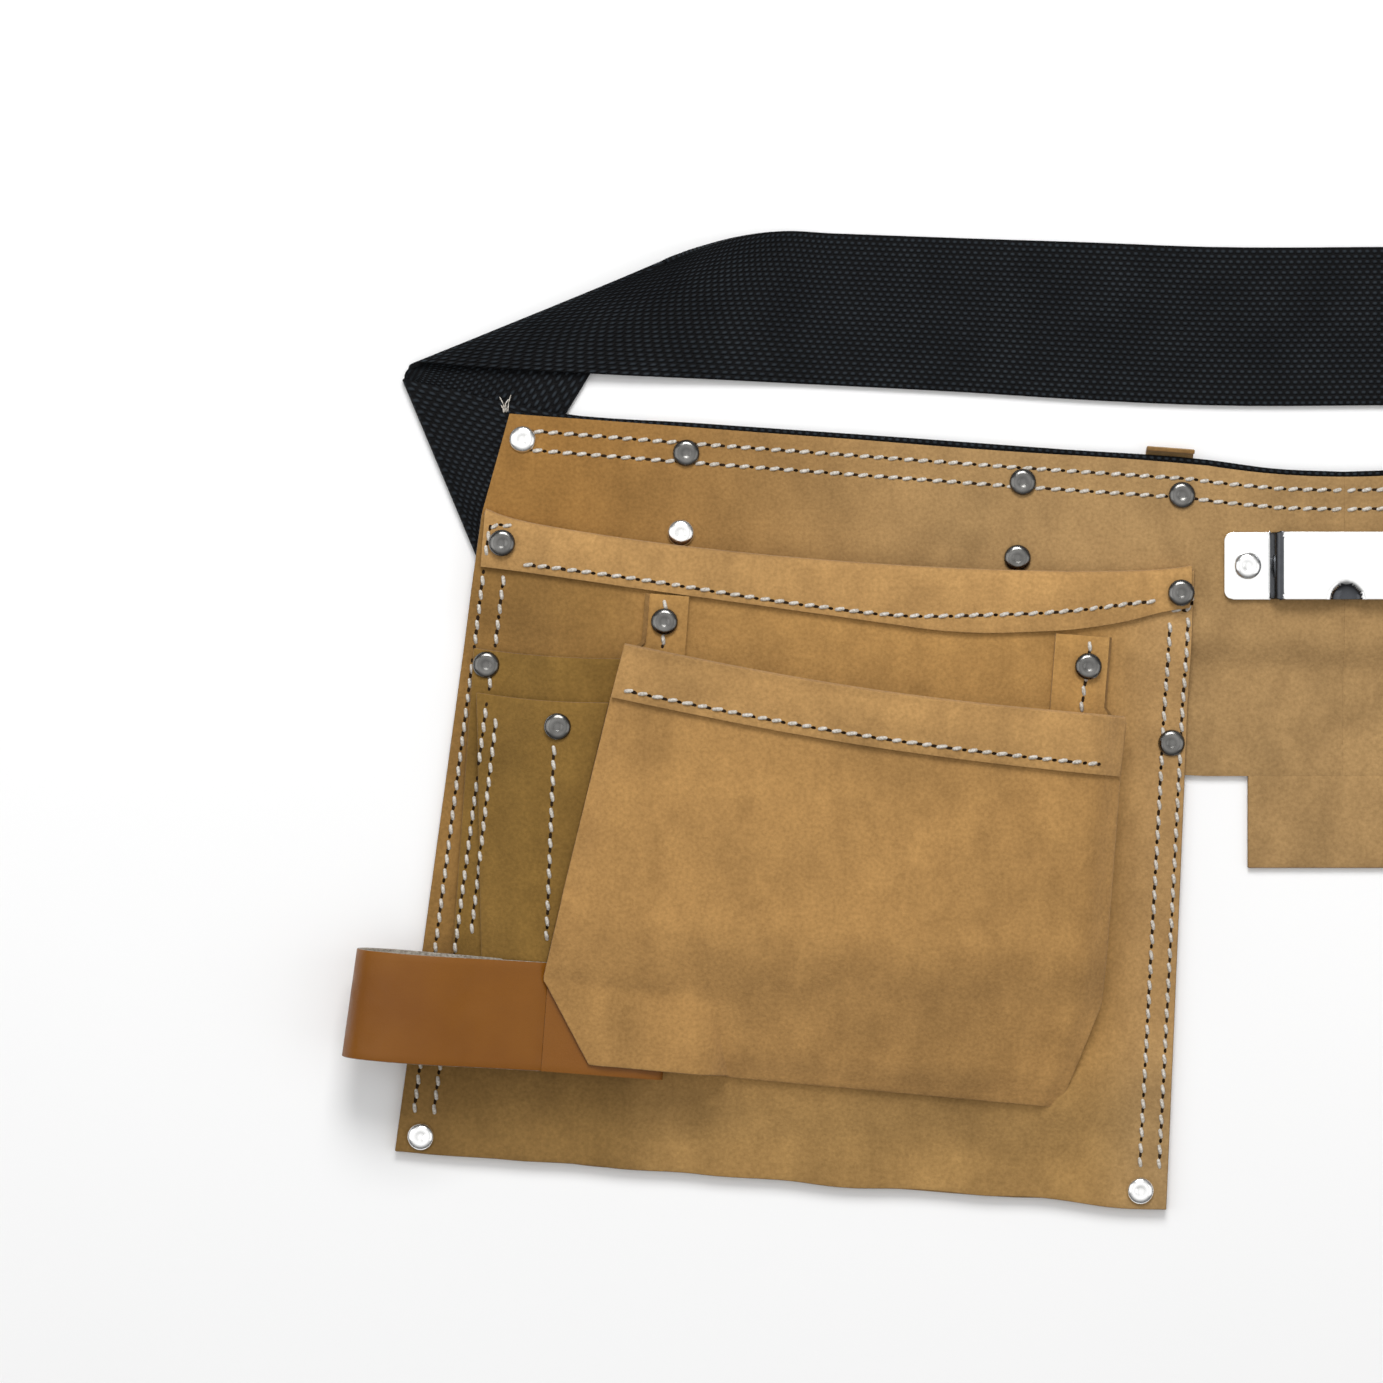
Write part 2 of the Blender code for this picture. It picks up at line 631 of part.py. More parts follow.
def buckle_housing(frame):
    """The socket half: a flat shell with a mouth, a window in each side and a bar for the webbing."""
    block(
        "buckle_housing", BLACK_PLASTIC, frame, (18.0, 0.0, 5.6), (52.0, 62.0, 11.0),
        cuts=[
            ((7.0, 0.0, 5.6), (32.0, 50.0, 7.0)),
            ((12.5, 0.0, 5.6), (14.0, 70.0, 7.0)),
            ((33.4, 0.0, 5.6), (8.4, 51.4, 20.0)),
            ((41.0, 0.0, 0.0), (8.0, 51.4, 4.4)),
            ((41.0, 0.0, 10.0), (8.0, 51.4, 8.0)),
        ],
    )


def buckle_plug(frame):
    """The tongue half: a base with a webbing slot and a guide tongue between the two arms."""
    block(
        "buckle_plug", BLACK_PLASTIC, frame, (-21.5, 0.0, 5.6), (21.0, 61.0, 8.0),
        cuts=[
            ((-17.0, 0.0, 5.6), (5.4, 51.4, 20.0)),
            ((-26.0, 0.0, 0.0), (15.0, 51.4, 4.4)),
            ((-26.0, 0.0, 10.0), (15.0, 51.4, 8.0)),
        ],
        joins=[((-1.0, 0.0, 5.6), (24.0, 22.0, 5.0))],
    )


def latch_arm(name, frame, sign):
    """A springy arm with a finger pad that stands in the housing's side window."""
    outline = [
        (ARM_PIVOT_X + GAP, 16.8), (17.0, 19.0), (19.0, 21.5), (18.6, 27.6), (16.0, 29.4), (9.0, 29.4),
        (6.4, 28.2), (6.2, 23.0), (ARM_PIVOT_X + GAP, 20.4),
    ]
    arm = bmesh.new()
    lower, upper = [[arm.verts.new((x, sign * y, z)) for x, y in outline[::sign]] for z in ARM_Z]
    arm.faces.new(lower[::-1])
    arm.faces.new(upper)
    for a, b, c, d in zip(lower, lower[1:] + lower[:1], upper[1:] + upper[:1], upper):
        arm.faces.new((a, b, c, d))
    place(name, arm, BLACK_PLASTIC, frame, (ARM_PIVOT_X, sign * ARM_PIVOT_Y, 5.6))


def webbing_plug_run():
    """The run of webbing along the back from the fold line up to the plug."""
    start = FOLD_X + FOLD_SLIT
    half = WEBBING_WIDTH / 2
    upper = [(start, 151.0, 0.0), at_buckle(-34.8, half, 0.0), at_buckle(-32.8, half, 0.0)]
    lower = [(start, 101.0, 0.0), at_buckle(-34.8, -half, 0.0), at_buckle(-32.8, -half, 0.0)]
    made = place("webbing_plug_run", grid([upper, lower]), BLACK_WEBBING)
    solidify(made, WEBBING)
    return made


def webbing_tail(frame):
    """The webbing's end: it comes up through the plug's slot, turns over its bar and lies back as a tail."""
    path = [(-32.4, 0.75), (-18.2, 0.75), (-16.9, 2.0), (-16.9, 6.4), (-18.2, 7.6)]
    path += [(-33.0, 7.6), (-41.0, 3.6), (-58.0, 2.9)]
    half = WEBBING_WIDTH / 2
    rows = [[(x, y, z) for x, z in path] for y in (half, -half)]
    made = place("webbing_tail", grid(rows), BLACK_WEBBING, frame)
    solidify(made, WEBBING, 0.0)


def build():
    band_top = BAND_Z + LEATHER
    left = empty("left_half", (-FOLD_X, 0.0, band_top))
    right = empty("right_half", (FOLD_X, 0.0, band_top))
    for webbing, name, side, half in (
        (webbing_left(), "left", -1, left),
        (webbing_right(), "right", 1, right),
    ):
        punch(webbing, pouch(name, side, half))
        hang(webbing, half)
    centre_webbing()
    plate_cutter = plate_rivets()
    centre_panel(plate_cutter)
    clip_plate(plate_cutter)
    centre_tongue()
    frame = empty("buckle_frame", (BUCKLE_X, BUCKLE_Y, 0.0), BUCKLE_TURN)
    hang(frame, right)
    buckle_housing(frame)
    buckle_plug(frame)
    latch_arm("latch_arm_upper", frame, 1)
    latch_arm("latch_arm_lower", frame, -1)
    webbing_tail(frame)
    hang(webbing_plug_run(), right)


clear_scene()
PARTS = collection("tool_belt")
CUTTERS = collection("cutters")
build()
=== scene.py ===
"""The looks of the tool belt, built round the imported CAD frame.

Suede sheets, hems, seams, webbing and rivets stand in for the plain CAD solids and follow the same
layers. Lengths in the functions are millimetres: MM turns them into the scene's metres.
"""

import json
import math

import bmesh
import bpy
from mathutils import Matrix, Vector, noise
from mathutils.bvhtree import BVHTree


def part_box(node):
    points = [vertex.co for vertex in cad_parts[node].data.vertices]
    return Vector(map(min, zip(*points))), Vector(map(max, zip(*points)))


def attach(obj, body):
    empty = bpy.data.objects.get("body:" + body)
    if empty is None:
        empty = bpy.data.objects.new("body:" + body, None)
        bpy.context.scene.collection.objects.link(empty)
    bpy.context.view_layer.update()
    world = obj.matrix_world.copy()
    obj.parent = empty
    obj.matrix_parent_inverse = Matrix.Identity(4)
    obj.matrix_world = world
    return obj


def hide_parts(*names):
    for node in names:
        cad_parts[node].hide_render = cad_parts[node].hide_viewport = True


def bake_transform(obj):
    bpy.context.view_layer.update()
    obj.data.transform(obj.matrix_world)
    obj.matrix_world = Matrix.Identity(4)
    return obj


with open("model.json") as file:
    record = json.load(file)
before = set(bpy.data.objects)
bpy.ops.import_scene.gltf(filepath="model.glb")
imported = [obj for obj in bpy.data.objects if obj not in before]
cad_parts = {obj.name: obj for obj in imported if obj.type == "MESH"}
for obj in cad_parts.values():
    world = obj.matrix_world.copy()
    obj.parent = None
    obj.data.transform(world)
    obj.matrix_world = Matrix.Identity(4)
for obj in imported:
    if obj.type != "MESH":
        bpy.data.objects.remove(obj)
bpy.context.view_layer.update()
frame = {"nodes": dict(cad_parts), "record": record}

MM = 0.001

# The belt's driving sizes, in millimetres, as the CAD model has them
LEATHER = 1.8
WEBBING = 1.5
WEBBING_WIDTH = 50.0
FOLD_X = 43.0
BAND_Z = 3.7
BAND_BOTTOM = -52.0
BAND_STEP = 12.0
SEAM_STEP, SEAM_DROP = 22.0, 4.0
POUCH_X, POUCH_Y = 155.7, 90.0
POUCH_TILT = math.radians(4.3)
MOUTH_V, MOUTH_DIP = -32.4, 8.3
BOTTOM_V = -235.0
OUTER_SIDE_U, OUTER_SIDE_FLARE = -114.3, -12.4
INNER_SIDE_U, INNER_SIDE_FLARE = 111.2, 6.6
MAIN_Z, MOUTH_RISE = 10.6, 2.0
STITCHED_EDGE = 10.0
STEP_V = -97.6
SHEET_GAP = 0.9
OUTER_DEPTH = 14.0
LOOP_V, LOOP_WIDTH = -188.0, 34.0
LOOP_HINGE_U, LOOP_HINGE_Z = -84.5, 18.9
TONGUE_HALF, TONGUE_BOTTOM, TONGUE_TOP = 30.0, -45.4, -16.0
FOLD_TOP_Y, MIDDLE_TOP_Y = 81.9, 78.4
BUCKLE_X, BUCKLE_Y, BUCKLE_TURN = 125.0, 129.5, math.radians(2.5)

# The finish of the pieces
STITCH_PITCH, STITCH_LENGTH, STITCH_R, STITCH_SLANT = 4.7, 3.5, 0.52, 0.42
WEAVE_ALONG, WEAVE_ACROSS = 2.4, 1.65
FINE = 2.2
BACK_SEAM_X = 20.0
VIEW_WIDTH, VIEW_X, VIEW_Y = 437.7, -205.9, 10.4
VIEW_DISTANCE = 1500.0


# ------ materials


def new_material(name, roughness, metallic=0.0):
    """A material, its nodes, its shader, and the coordinates of the piece that wears it."""
    made = bpy.data.materials.new(name)
    made.use_nodes = True
    tree = made.node_tree
    shader = tree.nodes["Principled BSDF"]
    shader.inputs["Roughness"].default_value = roughness
    shader.inputs["Metallic"].default_value = metallic
    return made, tree, shader, add(tree, "ShaderNodeTexCoord").outputs["Object"]


def add(tree, kind, **values):
    made = tree.nodes.new(kind)
    for key, value in values.items():
        setattr(made, key, value)
    return made


def noise_of(tree, source, scale, detail=4.0, stretch=None):
    """A noise pattern on the piece's own coordinates, in features per metre."""
    made = add(tree, "ShaderNodeTexNoise")
    made.inputs["Scale"].default_value = scale
    made.inputs["Detail"].default_value = detail
    if stretch:
        mapping = add(tree, "ShaderNodeMapping")
        mapping.inputs["Scale"].default_value = stretch
        tree.links.new(source, mapping.inputs["Vector"])
        source = mapping.outputs["Vector"]
    tree.links.new(source, made.inputs["Vector"])
    return made.outputs["Fac"]


def ramp(tree, factor, *stops):
    made = add(tree, "ShaderNodeValToRGB")
    elements = made.color_ramp.elements
    while len(elements) < len(stops):
        elements.new(0.5)
    for element, (position, colour) in zip(elements, stops):
        element.position = position
        element.color = (*colour, 1.0)
    tree.links.new(factor, made.inputs["Fac"])
    return made.outputs["Color"]


def drive(tree, shader, label, factor, *stops):
    """Drives one input of a shader by a colour ramp over a pattern."""
    tree.links.new(ramp(tree, factor, *stops), shader.inputs[label])


def mixed(tree, factor, a, b, mode="MIX"):
    made = add(tree, "ShaderNodeMix", data_type="RGBA", blend_type=mode)
    for value, socket in ((factor, made.inputs[0]), (a, made.inputs[6]), (b, made.inputs[7])):
        if isinstance(value, bpy.types.NodeSocket):
            tree.links.new(value, socket)
        else:
            socket.default_value = value
    return made.outputs[2]


def bump(tree, shader, height, distance, strength=1.0):
    made = add(tree, "ShaderNodeBump")
    made.inputs["Distance"].default_value = distance
    made.inputs["Strength"].default_value = strength
    tree.links.new(height, made.inputs["Height"])
    tree.links.new(made.outputs["Normal"], shader.inputs["Normal"])
    return made


def scaled(colour, by):
    return tuple(min(1.0, channel * by) for channel in colour)


def zone(tree, colour, here, axis, plain_at, tinted_at, tint):
    """Tints a colour from plain_at to tinted_at.

    Both are in metres, along Y or out along X from the belt's middle.
    """
    split = add(tree, "ShaderNodeSeparateXYZ")
    tree.links.new(here, split.inputs[0])
    place = split.outputs[axis]
    if axis == "X":
        place = math_node(tree, "ABSOLUTE", place)
    reach = add(tree, "ShaderNodeMapRange", interpolation_type="SMOOTHSTEP")
    reach.inputs["From Min"].default_value = plain_at
    reach.inputs["From Max"].default_value = tinted_at
    tree.links.new(place, reach.inputs["Value"])
    tinted = mixed(tree, reach.outputs[0], (1.0, 1.0, 1.0, 1.0), (*tint, 1.0))
    return mixed(tree, 1.0, colour, tinted, "MULTIPLY")


def suede(name, tone, zones=()):
    """Napped split leather: cloudy patches, brushed streaks and a short fibre."""
    made, tree, shader, here = new_material(name, 0.94)
    cloud = noise_of(tree, here, 30.0, 7.0)
    tone_map = ramp(tree, cloud, (0.28, scaled(tone, 0.83)), (0.5, tone), (0.72, scaled(tone, 1.11)))
    brushed = noise_of(tree, here, 130.0, 5.0, (1.0, 0.6, 1.0))
    streaks = ramp(tree, brushed, (0.3, (0.87, 0.86, 0.84)), (0.7, (1.07, 1.07, 1.05)))
    short = noise_of(tree, here, 900.0, 4.0)
    nap = ramp(tree, short, (0.30, (0.80, 0.79, 0.76)), (0.68, (1.10, 1.10, 1.10)))
    colour = mixed(tree, 1.0, tone_map, streaks, "MULTIPLY")
    colour = mixed(tree, 0.8, colour, nap, "MULTIPLY")
    for place in zones:
        colour = zone(tree, colour, here, *place)
    tree.links.new(colour, shader.inputs["Base Color"])
    bump(tree, shader, noise_of(tree, here, 1300.0, 5.0), 0.0003, 0.5)
    shader.inputs["Sheen Weight"].default_value = 0.12
    shader.inputs["Sheen Roughness"].default_value = 0.5
    shader.inputs["Specular IOR Level"].default_value = 0.1
    return made


def smooth_leather():
    made, tree, shader, here = new_material("scene_russet", 0.42)
    cloud = noise_of(tree, here, 30.0, 5.0)
    stops = (0.3, (0.188, 0.062, 0.003)), (0.55, (0.218, 0.076, 0.004)), (0.75, (0.25, 0.090, 0.007))
    drive(tree, shader, "Base Color", cloud, *stops)
    gloss = noise_of(tree, here, 160.0, 4.0)
    drive(tree, shader, "Roughness", gloss, (0.3, (0.34,) * 3), (0.7, (0.52,) * 3))
    grain = add(tree, "ShaderNodeTexVoronoi")
    grain.inputs["Scale"].default_value = 1500.0
    tree.links.new(here, grain.inputs["Vector"])
    bump(tree, shader, grain.outputs["Distance"], 0.0001, 0.35)
    shader.inputs["Specular IOR Level"].default_value = 0.28
    return made


def flesh_side():
    """The loose grey-brown fibres on the back of smooth leather."""
    made, tree, shader, here = new_material("scene_flesh_side", 0.97)
    fibres = noise_of(tree, here, 900.0, 6.0)
    drive(tree, shader, "Base Color", fibres, (0.3, (0.16, 0.13, 0.10)), (0.7, (0.46, 0.42, 0.36)))
    bump(tree, shader, fibres, 0.0006, 0.8)
    return made


def math_node(tree, operation, a, b=None):
    made = add(tree, "ShaderNodeMath", operation=operation)
    for value, socket in ((a, made.inputs[0]), (b, made.inputs[1])):
        if isinstance(value, bpy.types.NodeSocket):
            tree.links.new(value, socket)
        elif value is not None:
            socket.default_value = value
    return made.outputs[0]


def woven():
    """Black webbing: staggered yarn bumps on the strip's own UVs, which are in metres."""
    made, tree, shader, here = new_material("scene_webbing", 0.78)
    uv = add(tree, "ShaderNodeUVMap").outputs["UV"]
    split = add(tree, "ShaderNodeSeparateXYZ")
    tree.links.new(uv, split.inputs[0])
    across = math_node(tree, "MULTIPLY", split.outputs["Y"], 1.0 / (WEAVE_ACROSS * MM))
    along_strip = math_node(tree, "MULTIPLY", split.outputs["X"], 1.0 / (WEAVE_ALONG * MM))
    column = math_node(tree, "MODULO", math_node(tree, "FLOOR", across), 2.0)
    shifted = math_node(tree, "ADD", along_strip, math_node(tree, "MULTIPLY", column, 0.5))
    ridge = math_node(tree, "SINE", math_node(tree, "MULTIPLY", math_node(tree, "FRACT", across), math.pi))
    knot = math_node(tree, "SINE", math_node(tree, "MULTIPLY", math_node(tree, "FRACT", shifted), math.pi))
    height = math_node(tree, "MULTIPLY", ridge, knot)
    worn = noise_of(tree, here, 60.0, 5.0)
    # The colour lightens on the yarn's raised tops and darkens between them, following the bump height:
    # painted highlight and painted shade.
    dark = ramp(tree, height, (0.45, (0.0022, 0.0024, 0.003)), (0.95, (0.020, 0.026, 0.032)))
    dusty = ramp(tree, worn, (0.35, (0.75, 0.76, 0.8)), (0.75, (1.35, 1.32, 1.3)))
    tree.links.new(mixed(tree, 1.0, dark, dusty, "MULTIPLY"), shader.inputs["Base Color"])
    yarn = noise_of(tree, here, 2600.0, 3.0)
    total = math_node(tree, "ADD", height, math_node(tree, "MULTIPLY", yarn, 0.35))
    bump(tree, shader, total, 0.0005, 0.9)
    shader.inputs["Specular IOR Level"].default_value = 0.16
    return made


def nickel(name, tone, smudge):
    """Plated metal with faint smudges, which change its roughness more than its colour."""
    made, tree, shader, here = new_material(name, 0.2, 1.0)
    cloud = noise_of(tree, here, 140.0, 4.0)
    drive(tree, shader, "Base Color", cloud, (0.3, scaled(tone, 1.0 - smudge)), (0.7, tone))
    wear = noise_of(tree, here, 500.0, 5.0, (1.0, 6.0, 1.0))
    drive(tree, shader, "Roughness", wear, (0.3, (0.12,) * 3), (0.75, (0.30,) * 3))
    bump(tree, shader, noise_of(tree, here, 300.0, 3.0), 0.00006, 0.3)
    return made


def moulded():
    made, tree, shader, here = new_material("scene_plastic", 0.4)
    spark = noise_of(tree, here, 1800.0, 3.0)
    drive(tree, shader, "Base Color", spark, (0.3, (0.010, 0.010, 0.011)), (0.7, (0.020, 0.020, 0.021)))
    gloss = noise_of(tree, here, 120.0, 4.0)
    drive(tree, shader, "Roughness", gloss, (0.3, (0.34,) * 3), (0.7, (0.52,) * 3))
    bump(tree, shader, spark, 0.00012, 0.5)
    return made


def thread():
    made, tree, shader, here = new_material("scene_thread", 0.7)
    twist = noise_of(tree, here, 1400.0, 2.0)
    drive(tree, shader, "Base Color", twist, (0.3, (0.36, 0.32, 0.26)), (0.65, (0.70, 0.66, 0.60)))
    bump(tree, shader, twist, 0.0002, 0.8)
    return made


def pale(name, colour):
    made, tree, shader, here = new_material(name, 0.85)
    faint = noise_of(tree, here, 6.0, 2.0)
    drive(tree, shader, "Base Color", faint, (0.3, scaled(colour, 0.99)), (0.7, colour))
    return made


MATERIALS = {
    "blank": suede("scene_suede_blank", (0.375, 0.232, 0.100), [("X", 0.10, 0.26, (0.84, 0.70, 0.46))]),
    "main": suede("scene_suede_main", (0.43, 0.24, 0.08), [
        ("X", 0.212, 0.236, (0.64, 0.63, 0.58)),
        ("X", 0.085, 0.055, (1.0, 1.08, 1.35)),
        # Darker and more olive towards the pocket's bottom: painted shade of a light from above.
        ("Y", -0.09, -0.13, (0.88, 0.93, 1.0)),
    ]),
    "outer": suede("scene_suede_outer", (0.42, 0.235, 0.082)),
    "hem": suede("scene_suede_hem", (0.45, 0.26, 0.098)),
    "tool": suede("scene_suede_tool", (0.225, 0.128, 0.032)),
    "centre": suede("scene_suede_centre", (0.37, 0.23, 0.10)),
    "cut": suede("scene_suede_cut", (0.25, 0.14, 0.05)),
    "russet": smooth_leather(),
    "flesh": flesh_side(),
    "web": woven(),
    "nickel": nickel("scene_nickel", (0.97, 0.97, 0.96), 0.02),
    # A darker copy of the same nickel for most rivets: painted dark reflections on their heads.
    "dull_nickel": nickel("scene_nickel_dull", (0.22, 0.215, 0.205), 0.4),
    # A still darker copy of the nickel for the clip plate's dish and joggle slopes: painted dark
    # reflection.
    "shaded_nickel": nickel("scene_nickel_shaded", (0.10, 0.105, 0.115), 0.3),
    "plastic": moulded(),
    "thread": thread(),
    # Near-black suede for the needle holes: painted shade in the holes.
    "hole": suede("scene_needle_hole", (0.024, 0.013, 0.006)),
    "floor": pale("scene_floor", (0.92, 0.92, 0.92)),
}


# ------ mesh tools


def smooth(t):
    t = min(max(t, 0.0), 1.0)
    return t * t * (3.0 - 2.0 * t)


def blend(a, b, t):
    return a + (b - a) * t


def fractions(count):
    return [i / count for i in range(count + 1)]


def along(polyline, t):
    for (t0, a), (t1, b) in zip(polyline, polyline[1:]):
        if t <= t1:
            return tuple(blend(p, q, (t - t0) / (t1 - t0)) for p, q in zip(a, b))
    return polyline[-1][1]


def ripple(x, y, scale, seed=0.0):
    """Smooth noise from -1 to 1 with features about scale millimetres wide."""
    return noise.noise(Vector((x / scale, y / scale, seed)))


SIDES = {-1: "left", 1: "right"}


def to_world(u, v, z, side):
    """A point of the left pouch's frame (side -1), or of the right one, its mirror image (side 1)."""
    x = -POUCH_X + u * math.cos(POUCH_TILT) - v * math.sin(-POUCH_TILT)
    y = POUCH_Y - u * math.sin(POUCH_TILT) + v * math.cos(POUCH_TILT)
    return -side * x, y, z


def placed(name, data):
    thing = bpy.data.objects.new(name, data)
    bpy.context.scene.collection.objects.link(thing)
    return thing


def mesh_object(name, made, slots):
    mesh = bpy.data.meshes.new(name)
    made.to_mesh(mesh)
    made.free()
    for slot in slots:
        mesh.materials.append(MATERIALS[slot])
    mesh.shade_smooth()
    return placed(name, mesh)


def lattice(made, rows, flip=False):
    """Adds a surface through rows of points, in millimetres, to a bmesh."""
    verts = [[made.verts.new(Vector(p) * MM) for p in row] for row in rows]
    for upper, lower in zip(verts, verts[1:]):
        for a, b, c, d in zip(upper, lower, lower[1:], upper[1:]):
            made.faces.new((d, c, b, a) if flip else (a, b, c, d))
    return verts


def thicken(thing, thickness, offset=0.0):
    """Gives a surface a thickness in millimetres."""
    shell = thing.modifiers.new("thickness", "SOLIDIFY")
    shell.thickness = thickness * MM
    shell.offset = offset
    return shell


def round_edges(thing, width, angle, segments=2):
    """Rounds the edges sharper than an angle in degrees, by a width in millimetres."""
    edge = thing.modifiers.new("rounded edges", "BEVEL")
    edge.width = width * MM
    edge.segments = segments
    edge.limit_method = "ANGLE"
    edge.angle_limit = math.radians(angle)


def applied(thing):
    """Applies every modifier, so that the piece is its final mesh."""
    seen = bpy.context.evaluated_depsgraph_get()
    mesh = bpy.data.meshes.new_from_object(thing.evaluated_get(seen))
    thing.modifiers.clear()
    thing.data = mesh
    return thing


def sheet_of(name, patches, side, thickness, slots, offset=1.0, weld=False):
    """A leather sheet: its lower surface, thickened upwards, with a softly rounded cut edge."""
    made = bmesh.new()
    for rows in patches:
        lattice(made, rows, side > 0)
    if weld:
        bmesh.ops.remove_doubles(made, verts=made.verts, dist=0.02 * MM)
    thing = mesh_object(name, made, slots)
    thicken(thing, thickness, offset).material_offset_rim = 1
    round_edges(thing, 0.22 * thickness, 50)
    return applied(thing)


def grid_size(length, cell=FINE):
    return max(2, int(round(length / cell)))


# ------ the pouch's layers


def back_height(v):
    return BAND_Z * smooth((v - BAND_BOTTOM + BAND_STEP) / BAND_STEP)


def side_edges(v):
    t = (MOUTH_V - v) / (MOUTH_V - BOTTOM_V)
    return OUTER_SIDE_U + OUTER_SIDE_FLARE * t, INNER_SIDE_U + INNER_SIDE_FLARE * t


def main_rise(u, v):
    left, right = side_edges(v)
    inside = min(u - left, right - u) - STITCHED_EDGE
    return smooth(inside / 26.0) * smooth((v - BOTTOM_V - STITCHED_EDGE) / 34.0)


def main_height(u, v):
    seam = BAND_Z * smooth((v - BAND_BOTTOM + SEAM_STEP + SEAM_DROP) / SEAM_STEP) + LEATHER + 0.35
    return blend(seam, MAIN_Z + MOUTH_RISE * smooth((v + 110.0) / 60.0), main_rise(u, v))


def top_of(height, u, v):
    """The upper face of a sheet whose lower face is at height, measured straight up."""
    step = 0.5
    slope_u = (height(u + step, v) - height(u - step, v)) / (2 * step)
    slope_v = (height(u, v + step) - height(u, v - step)) / (2 * step)
    return height(u, v) + LEATHER * math.sqrt(1 + slope_u**2 + slope_v**2)


def soft_main(u, v):
    """The main pocket with the slow waves that worn suede settles into."""
    wave = 0.45 * ripple(u, v, 42.0, 3.0) + 0.2 * ripple(u, v, 15.0, 9.0)
    return main_height(u, v) + wave * main_rise(u, v) - 0.25 * main_rise(u, v)


def mouth_v(u):
    middle = max(0.0, 1.0 - (u / 112.0) ** 2)
    return MOUTH_V - MOUTH_DIP * middle**0.6


HEM_LINE = [(-112.2, -48.7), (-62.7, -52.3), (-11.7, -55.5), (39.3, -58.9), (80.2, -54.3), (112.6, -43.4)]
HEM_STITCHES = [
    (-104.4, -46.9), (-62.9, -49.2), (-24.6, -52.6), (20.0, -55.0), (70.3, -49.8), (103.4, -42.6),
]


def on_line(line, u):
    """The v of a line of (u, v) points at u, with its corners rounded off."""
    def straight(at):
        points = [(p[0], (p[1],)) for p in line]
        return along(points, max(at, line[0][0]))[0]
    return sum(straight(u + d) for d in (-12.0, -6.0, 0.0, 6.0, 12.0)) / 5


OUTER_LEFT = [(0.0, (-66.0, -71.6)), (0.13, (-69.0, -88.0)), (0.8, (-83.6, -176.0)), (1.0, (-67.3, -201.8))]
OUTER_RIGHT = [(0.0, (91.3, -82.6)), (0.13, (90.7, -101.0)), (0.8, (90.6, -171.0)), (1.0, (80.7, -204.3))]


def outer_lift(s, t):
    closed = 1.0 - smooth((t - 0.62) / 0.38)
    crown = 0.78 + 0.22 * math.sin(math.pi * s)
    return SHEET_GAP + OUTER_DEPTH * crown * closed


def outer_point(s, t):
    left, right = along(OUTER_LEFT, t), along(OUTER_RIGHT, t)
    u, v = blend(left[0], right[0], s), blend(left[1], right[1], s)
    v -= 3.0 * math.sin(math.pi * s) * (1.0 - t)
    over_loop = (LOOP_HINGE_Z + 0.35) * (1.0 - smooth((u + 34.0) / 22.0)) * smooth((-152.0 - v) / 12.0)
    return u, v, max(top_of(main_height, u, v) + outer_lift(s, t), over_loop)


def turned_edge(s, t):
    """How far the outer pocket's face rolls down towards its side seams and its bottom seam."""
    near_side = min(s, 1.0 - s) / 0.05
    near_end = (1.0 - t) / 0.06
    return 2.6 * (1.0 - smooth(near_side)) + 1.2 * (1.0 - smooth(near_end))


def soft_outer(s, t):
    u, v, z = outer_point(s, t)
    middle = smooth(min(s, 1 - s) / 0.15) * smooth((1 - t) / 0.15)
    waves = 0.9 * ripple(u, v, 55.0, 21.0) + 0.4 * ripple(u, v, 22.0, 5.0)
    ridge = 0.8 * math.exp(-(((u + v * 0.35 + 10.0) / 16.0) ** 2))
    roll = turned_edge(s, t) if v > -150.0 or u > -30.0 else 0.3 * turned_edge(s, t)
    return u, v, z + (waves + ridge) * middle - roll


# ------ leather pieces


def blank(side):
    """The suede blank from its outer edge to the belt's middle, crossing the fold in one sheet."""
    name = SIDES[side]
    pouch_rows, centre_rows = [], []
    levels = [blend(0.0, STEP_V, t) for t in fractions(grid_size(-STEP_V))]
    lower = [blend(STEP_V - 0.2, BOTTOM_V, t) for t in fractions(grid_size(STEP_V - BOTTOM_V))]
    columns = fractions(grid_size(250.0))
    for v in levels + lower:
        left, right = side_edges(v)
        if v > MOUTH_V:
            left = blend(-107.9, OUTER_SIDE_U, v / MOUTH_V)
        if v >= STEP_V:
            right = (POUCH_X - FOLD_X + v * math.sin(-POUCH_TILT)) / math.cos(POUCH_TILT)
        row = []
        for t in columns:
            u = blend(left, right, t)
            down = v + (1.6 * ripple(u, 0.0, 34.0, 7.0) if v <= BOTTOM_V + 0.01 else 0.0)
            top_wave = 0.5 * ripple(u, 0.0, 60.0, 4.0) if v > -0.01 else 0.0
            wave = 0.2 * ripple(u, v, 30.0, 1.0) * smooth((v + 30.0) / 12.0)
            row.append(to_world(u, down + top_wave, back_height(v) + wave, side))
        pouch_rows.append(row)
        if v >= STEP_V:
            centre_rows.append(centre_row(row[-1]))
    thing = sheet_of(name + "_blank", [pouch_rows, centre_rows], side, LEATHER, ["blank", "cut"], weld=True)
    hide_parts(name + "_back_panel")
    if side < 0:
        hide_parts("centre_panel")
    return thing


def centre_row(start):
    """A row of the blank carried on from its point on the fold line to the belt's middle."""
    share = (start[1] - TONGUE_TOP) / (FOLD_TOP_Y - TONGUE_TOP)
    middle_y = blend(TONGUE_TOP, MIDDLE_TOP_Y, share)
    row = []
    for t in fractions(grid_size(FOLD_X)):
        y = blend(start[1], middle_y, 1.0 - (1.0 - t) ** 2)
        row.append((start[0] * (1.0 - t), y, start[2]))
    return row


